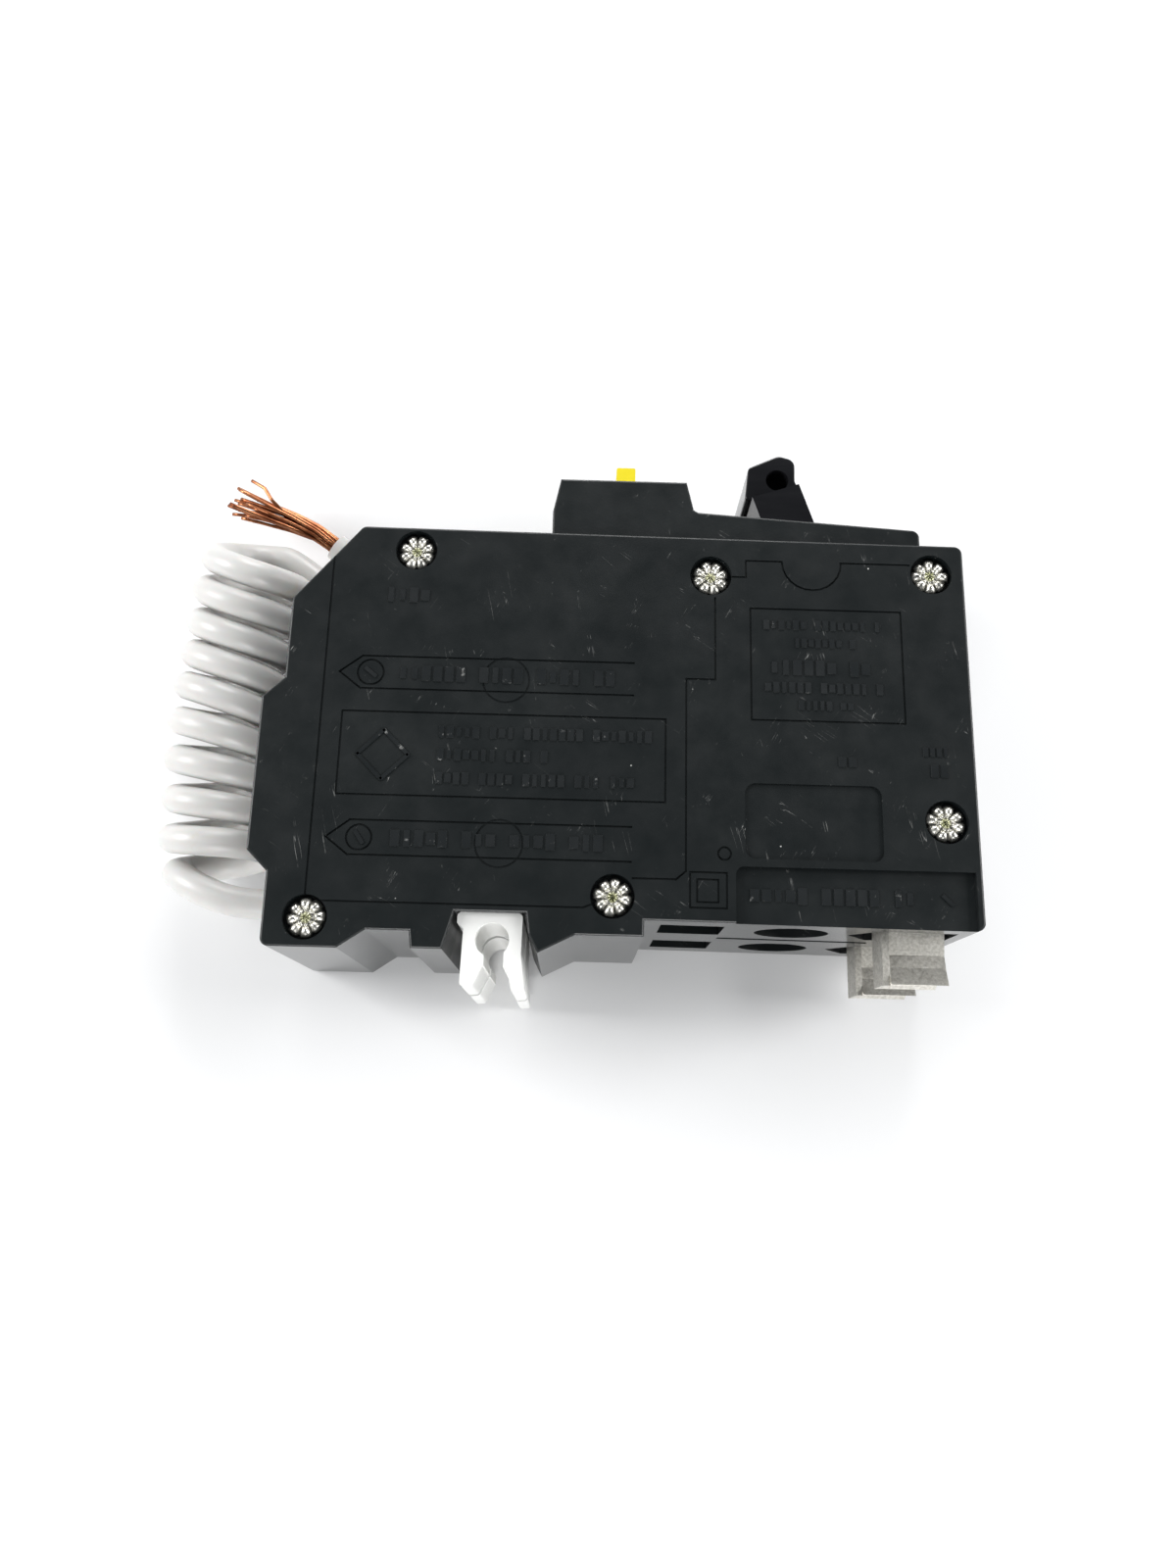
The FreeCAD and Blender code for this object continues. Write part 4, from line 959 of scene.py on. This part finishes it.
@dataclass
class FaceMarks:
    """Raised blocks where the case has moulded wording, so that no letter is drawn.

    Every field is in mm. The rows are placed from the cover's line end and back plane.
    """

    rise: float = 0.16
    bed: float = 0.06
    slope: float = 0.07
    back_plane: float = 4.6
    sign_place: tuple[float, float] = (-86.2, 23.1)
    sign_reach: float = 2.6
    sign_half: tuple[float, float] = (0.25, 2.7)
    seed: int = 5
    rows: tuple[MarkRow, ...] = (
        MarkRow(-30.6, -12.3, 44.7, 1.5), MarkRow(-26.0, -17.0, 41.9, 1.4), MarkRow(-29.7, -13.8, 38.0, 2.3),
        MarkRow(-30.5, -12.8, 34.9, 1.6), MarkRow(-25.6, -17.6, 32.2, 1.4),
        MarkRow(-33.0, -9.4, 4.3, 2.3, sunk=0.9),
        MarkRow(-84.6, -51.8, 35.5, 2.3), MarkRow(-84.2, -52.2, 10.9, 2.3), MarkRow(-78.3, -47.2, 26.7, 1.7),
        MarkRow(-78.3, -62.0, 23.3, 1.7), MarkRow(-78.3, -47.4, 19.8, 1.7), MarkRow(-87.2, -79.4, 47.8, 2.3),
        MarkRow(-20.0, -16.4, 23.8, 2.0), MarkRow(-7.6, -3.4, 25.6, 1.3), MarkRow(-6.6, -4.2, 22.8, 1.9),
    )

    def blocks(self) -> np.ndarray:
        """Centre, half sizes, turn and top height of every block.

        Words of three to seven blocks fill each row; a square turned on its corner and
        two short slanted bars stand for the signs.

        Returns:
            An (n, 6) array: x, y, half width, half height, turn, height of the face.
        """
        rng = np.random.default_rng(self.seed)
        found = []
        for row in self.rows:
            wide = row.height * 0.52
            step = wide * 1.42
            left = int(rng.integers(3, 8))
            for x in np.arange(row.start + wide / 2, row.end - wide / 2, step):
                left -= 1
                if left < 0:
                    left = int(rng.integers(3, 8))
                    continue
                tall = row.height * (0.5 if rng.random() > 0.3 else 0.36)
                slim = wide * (0.5 if rng.random() > 0.25 else 0.3)
                found.append((x, row.middle, slim, tall, 0.0, -row.sunk))
        for side in range(4):
            turn = math.pi / 4 + side * math.pi / 2
            x = self.sign_place[0] + self.sign_reach * math.cos(turn)
            y = self.sign_place[1] + self.sign_reach * math.sin(turn)
            found.append((x, y, *self.sign_half, turn, 0.0))
        found.append((-88.8, 35.5, 0.25, 1.1, 0.9, 0.0))
        found.append((-88.7, 10.9, 0.25, 1.1, 0.6, 0.0))
        found.append((-5.0, 4.3, 0.25, 1.0, 0.8, -0.9))
        return np.array(found)

    def build(self) -> None:
        """Makes all blocks as one piece: each is a closed block with sloping sides."""
        low, high = cad_box("near_cover")
        origin = np.array([high[0], low[1] + self.back_plane * MM, high[2]])
        spec = self.blocks()
        signs = np.array([[-1.0, -1.0], [1.0, -1.0], [1.0, 1.0], [-1.0, 1.0]])
        half = spec[:, None, 2:4] * signs[None]
        foot = half + self.slope * signs[None]
        cosine, sine = np.cos(spec[:, 4])[:, None], np.sin(spec[:, 4])[:, None]
        rings = []
        for flat, height in ((foot, -self.bed), (half, self.rise)):
            x = spec[:, 0, None] + flat[..., 0] * cosine - flat[..., 1] * sine
            y = spec[:, 1, None] + flat[..., 0] * sine + flat[..., 1] * cosine
            rings.append(np.stack([x, y, np.broadcast_to(spec[:, 5, None] + height, x.shape)], axis=-1))
        points = np.concatenate(rings, axis=1).reshape(-1, 3) * MM + origin
        cell = np.array([[3, 2, 1, 0], [4, 5, 6, 7], [0, 1, 5, 4], [1, 2, 6, 5], [2, 3, 7, 6], [3, 0, 4, 7]])
        faces = (cell[None] + 8 * np.arange(len(spec))[:, None, None]).reshape(-1, 4)
        piece = mesh_object("face_marks", points, faces.tolist(), smooth=False)
        coat(piece, Finish.MARK)
        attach(piece, "case")
        LOG.info("face marks: %d blocks", len(spec))


# ------------------------------------------------------------------ studio
@dataclass
class Studio:
    """Camera, pale floor and soft light."""

    eye: tuple[float, float, float] = (-5.767 * MM, -56.906 * MM, 228.009 * MM)
    tilt: float = 17.916
    heading: float = 88.846
    roll: float = -2.708
    lens: float = 30.934
    shift_y: float = -0.075
    sensor: float = 36.0
    floor_drop: float = 0.05 * MM
    floor_half: float = 1.5
    lamp_side: float = 0.4
    lamps: tuple[tuple[str, tuple[float, float, float], float], ...] = (
        ("left_side", (-0.8, 0.15, 0.42), 6.5), ("right_side", (0.8, 0.1, 0.42), 6.0),
        ("front_side", (0.0, 0.8, 0.4), 4.5), ("back_side", (0.0, -0.8, 0.4), 4.5),
    )
    low_sky: tuple[float, ...] = (0.97, 0.985, 1.0, 1.0)
    high_sky: tuple[float, ...] = (0.1, 0.115, 0.12, 1.0)
    sky_strength: float = 0.6

    def camera(self) -> None:
        """Places the camera: looking down, tipped towards the front, rolled a little."""
        forward_tilt = math.radians(self.tilt)
        heading = math.radians(self.heading)
        forward = Vector((
            math.sin(forward_tilt) * math.cos(heading), math.sin(forward_tilt) * math.sin(heading),
            -math.cos(forward_tilt),
        ))
        level = forward.cross(Vector((0.0, 0.0, 1.0))).normalized()
        right = Matrix.Rotation(math.radians(self.roll), 3, forward) @ level
        up = right.cross(forward)
        turn = Matrix((right, up, -forward)).transposed()
        data = bpy.data.cameras.new("camera")
        data.sensor_width = self.sensor
        data.lens = self.lens
        data.shift_y = self.shift_y
        data.clip_start = 0.01
        view = bpy.data.objects.new("camera", data)
        view.matrix_world = Matrix.Translation(Vector(self.eye)) @ turn.to_4x4()
        bpy.context.scene.collection.objects.link(view)
        bpy.context.scene.camera = view

    def floor(self) -> None:
        """A plain pale floor just under the object."""
        low = CAD_BOX[0][2] - self.floor_drop
        half = self.floor_half
        corners = np.array([[-half, -half, low], [half, -half, low], [half, half, low], [-half, half, low]])
        ground = mesh_object("floor", corners, [[0, 1, 2, 3]], smooth=False)
        shade = Shade("floor_white")
        shade.set(Base_Color=(0.93, 0.93, 0.935), Roughness=0.55, Specular_IOR_Level=0.3)
        ground.data.materials.append(shade.material)

    def light(self, name: str, place: tuple[float, float, float], power: float) -> None:
        """One soft square light that looks at the origin.

        Args:
            name: the light's name.
            place: where it stands.
            power: watts.
        """
        data = bpy.data.lights.new(name, "AREA")
        data.shape = "SQUARE"
        data.size = self.lamp_side
        data.energy = power
        lamp = bpy.data.objects.new(name, data)
        lamp.location = place
        lamp.rotation_euler = (-Vector(place)).to_track_quat("-Z", "Y").to_euler()
        bpy.context.scene.collection.objects.link(lamp)

    def sky(self) -> None:
        """A soft sky, darker overhead than near the horizon."""
        world = bpy.data.worlds.new("soft_sky")
        world.use_nodes = True
        nodes, links = world.node_tree.nodes, world.node_tree.links
        aim = nodes.new("ShaderNodeSeparateXYZ")
        links.new(nodes.new("ShaderNodeTexCoord").outputs["Generated"], aim.inputs[0])
        ramp = nodes.new("ShaderNodeValToRGB")
        links.new(aim.outputs["Z"], ramp.inputs[0])
        stops = ((0.35, self.low_sky), (0.85, self.high_sky))
        for element, (height, colour) in zip(ramp.color_ramp.elements, stops):
            element.position = height
            element.color = colour
        links.new(ramp.outputs[0], nodes["Background"].inputs[0])
        nodes["Background"].inputs[1].default_value = self.sky_strength
        bpy.context.scene.world = world

    def build(self) -> None:
        """Makes the whole studio."""
        self.camera()
        self.floor()
        for name, place, power in self.lamps:
            self.light(name, place, power)
        self.sky()
        bpy.context.scene.view_settings.view_transform = "Standard"


def main() -> None:
    """Builds the studio, the wire and every dressed piece."""
    logging.basicConfig(level=logging.INFO, format="%(name)s: %(message)s")
    Studio().build()
    Pigtail().build()
    CadDressing().dress()
    Rivets().build()
    FaceMarks().build()


if __name__ == "__main__":
    main()
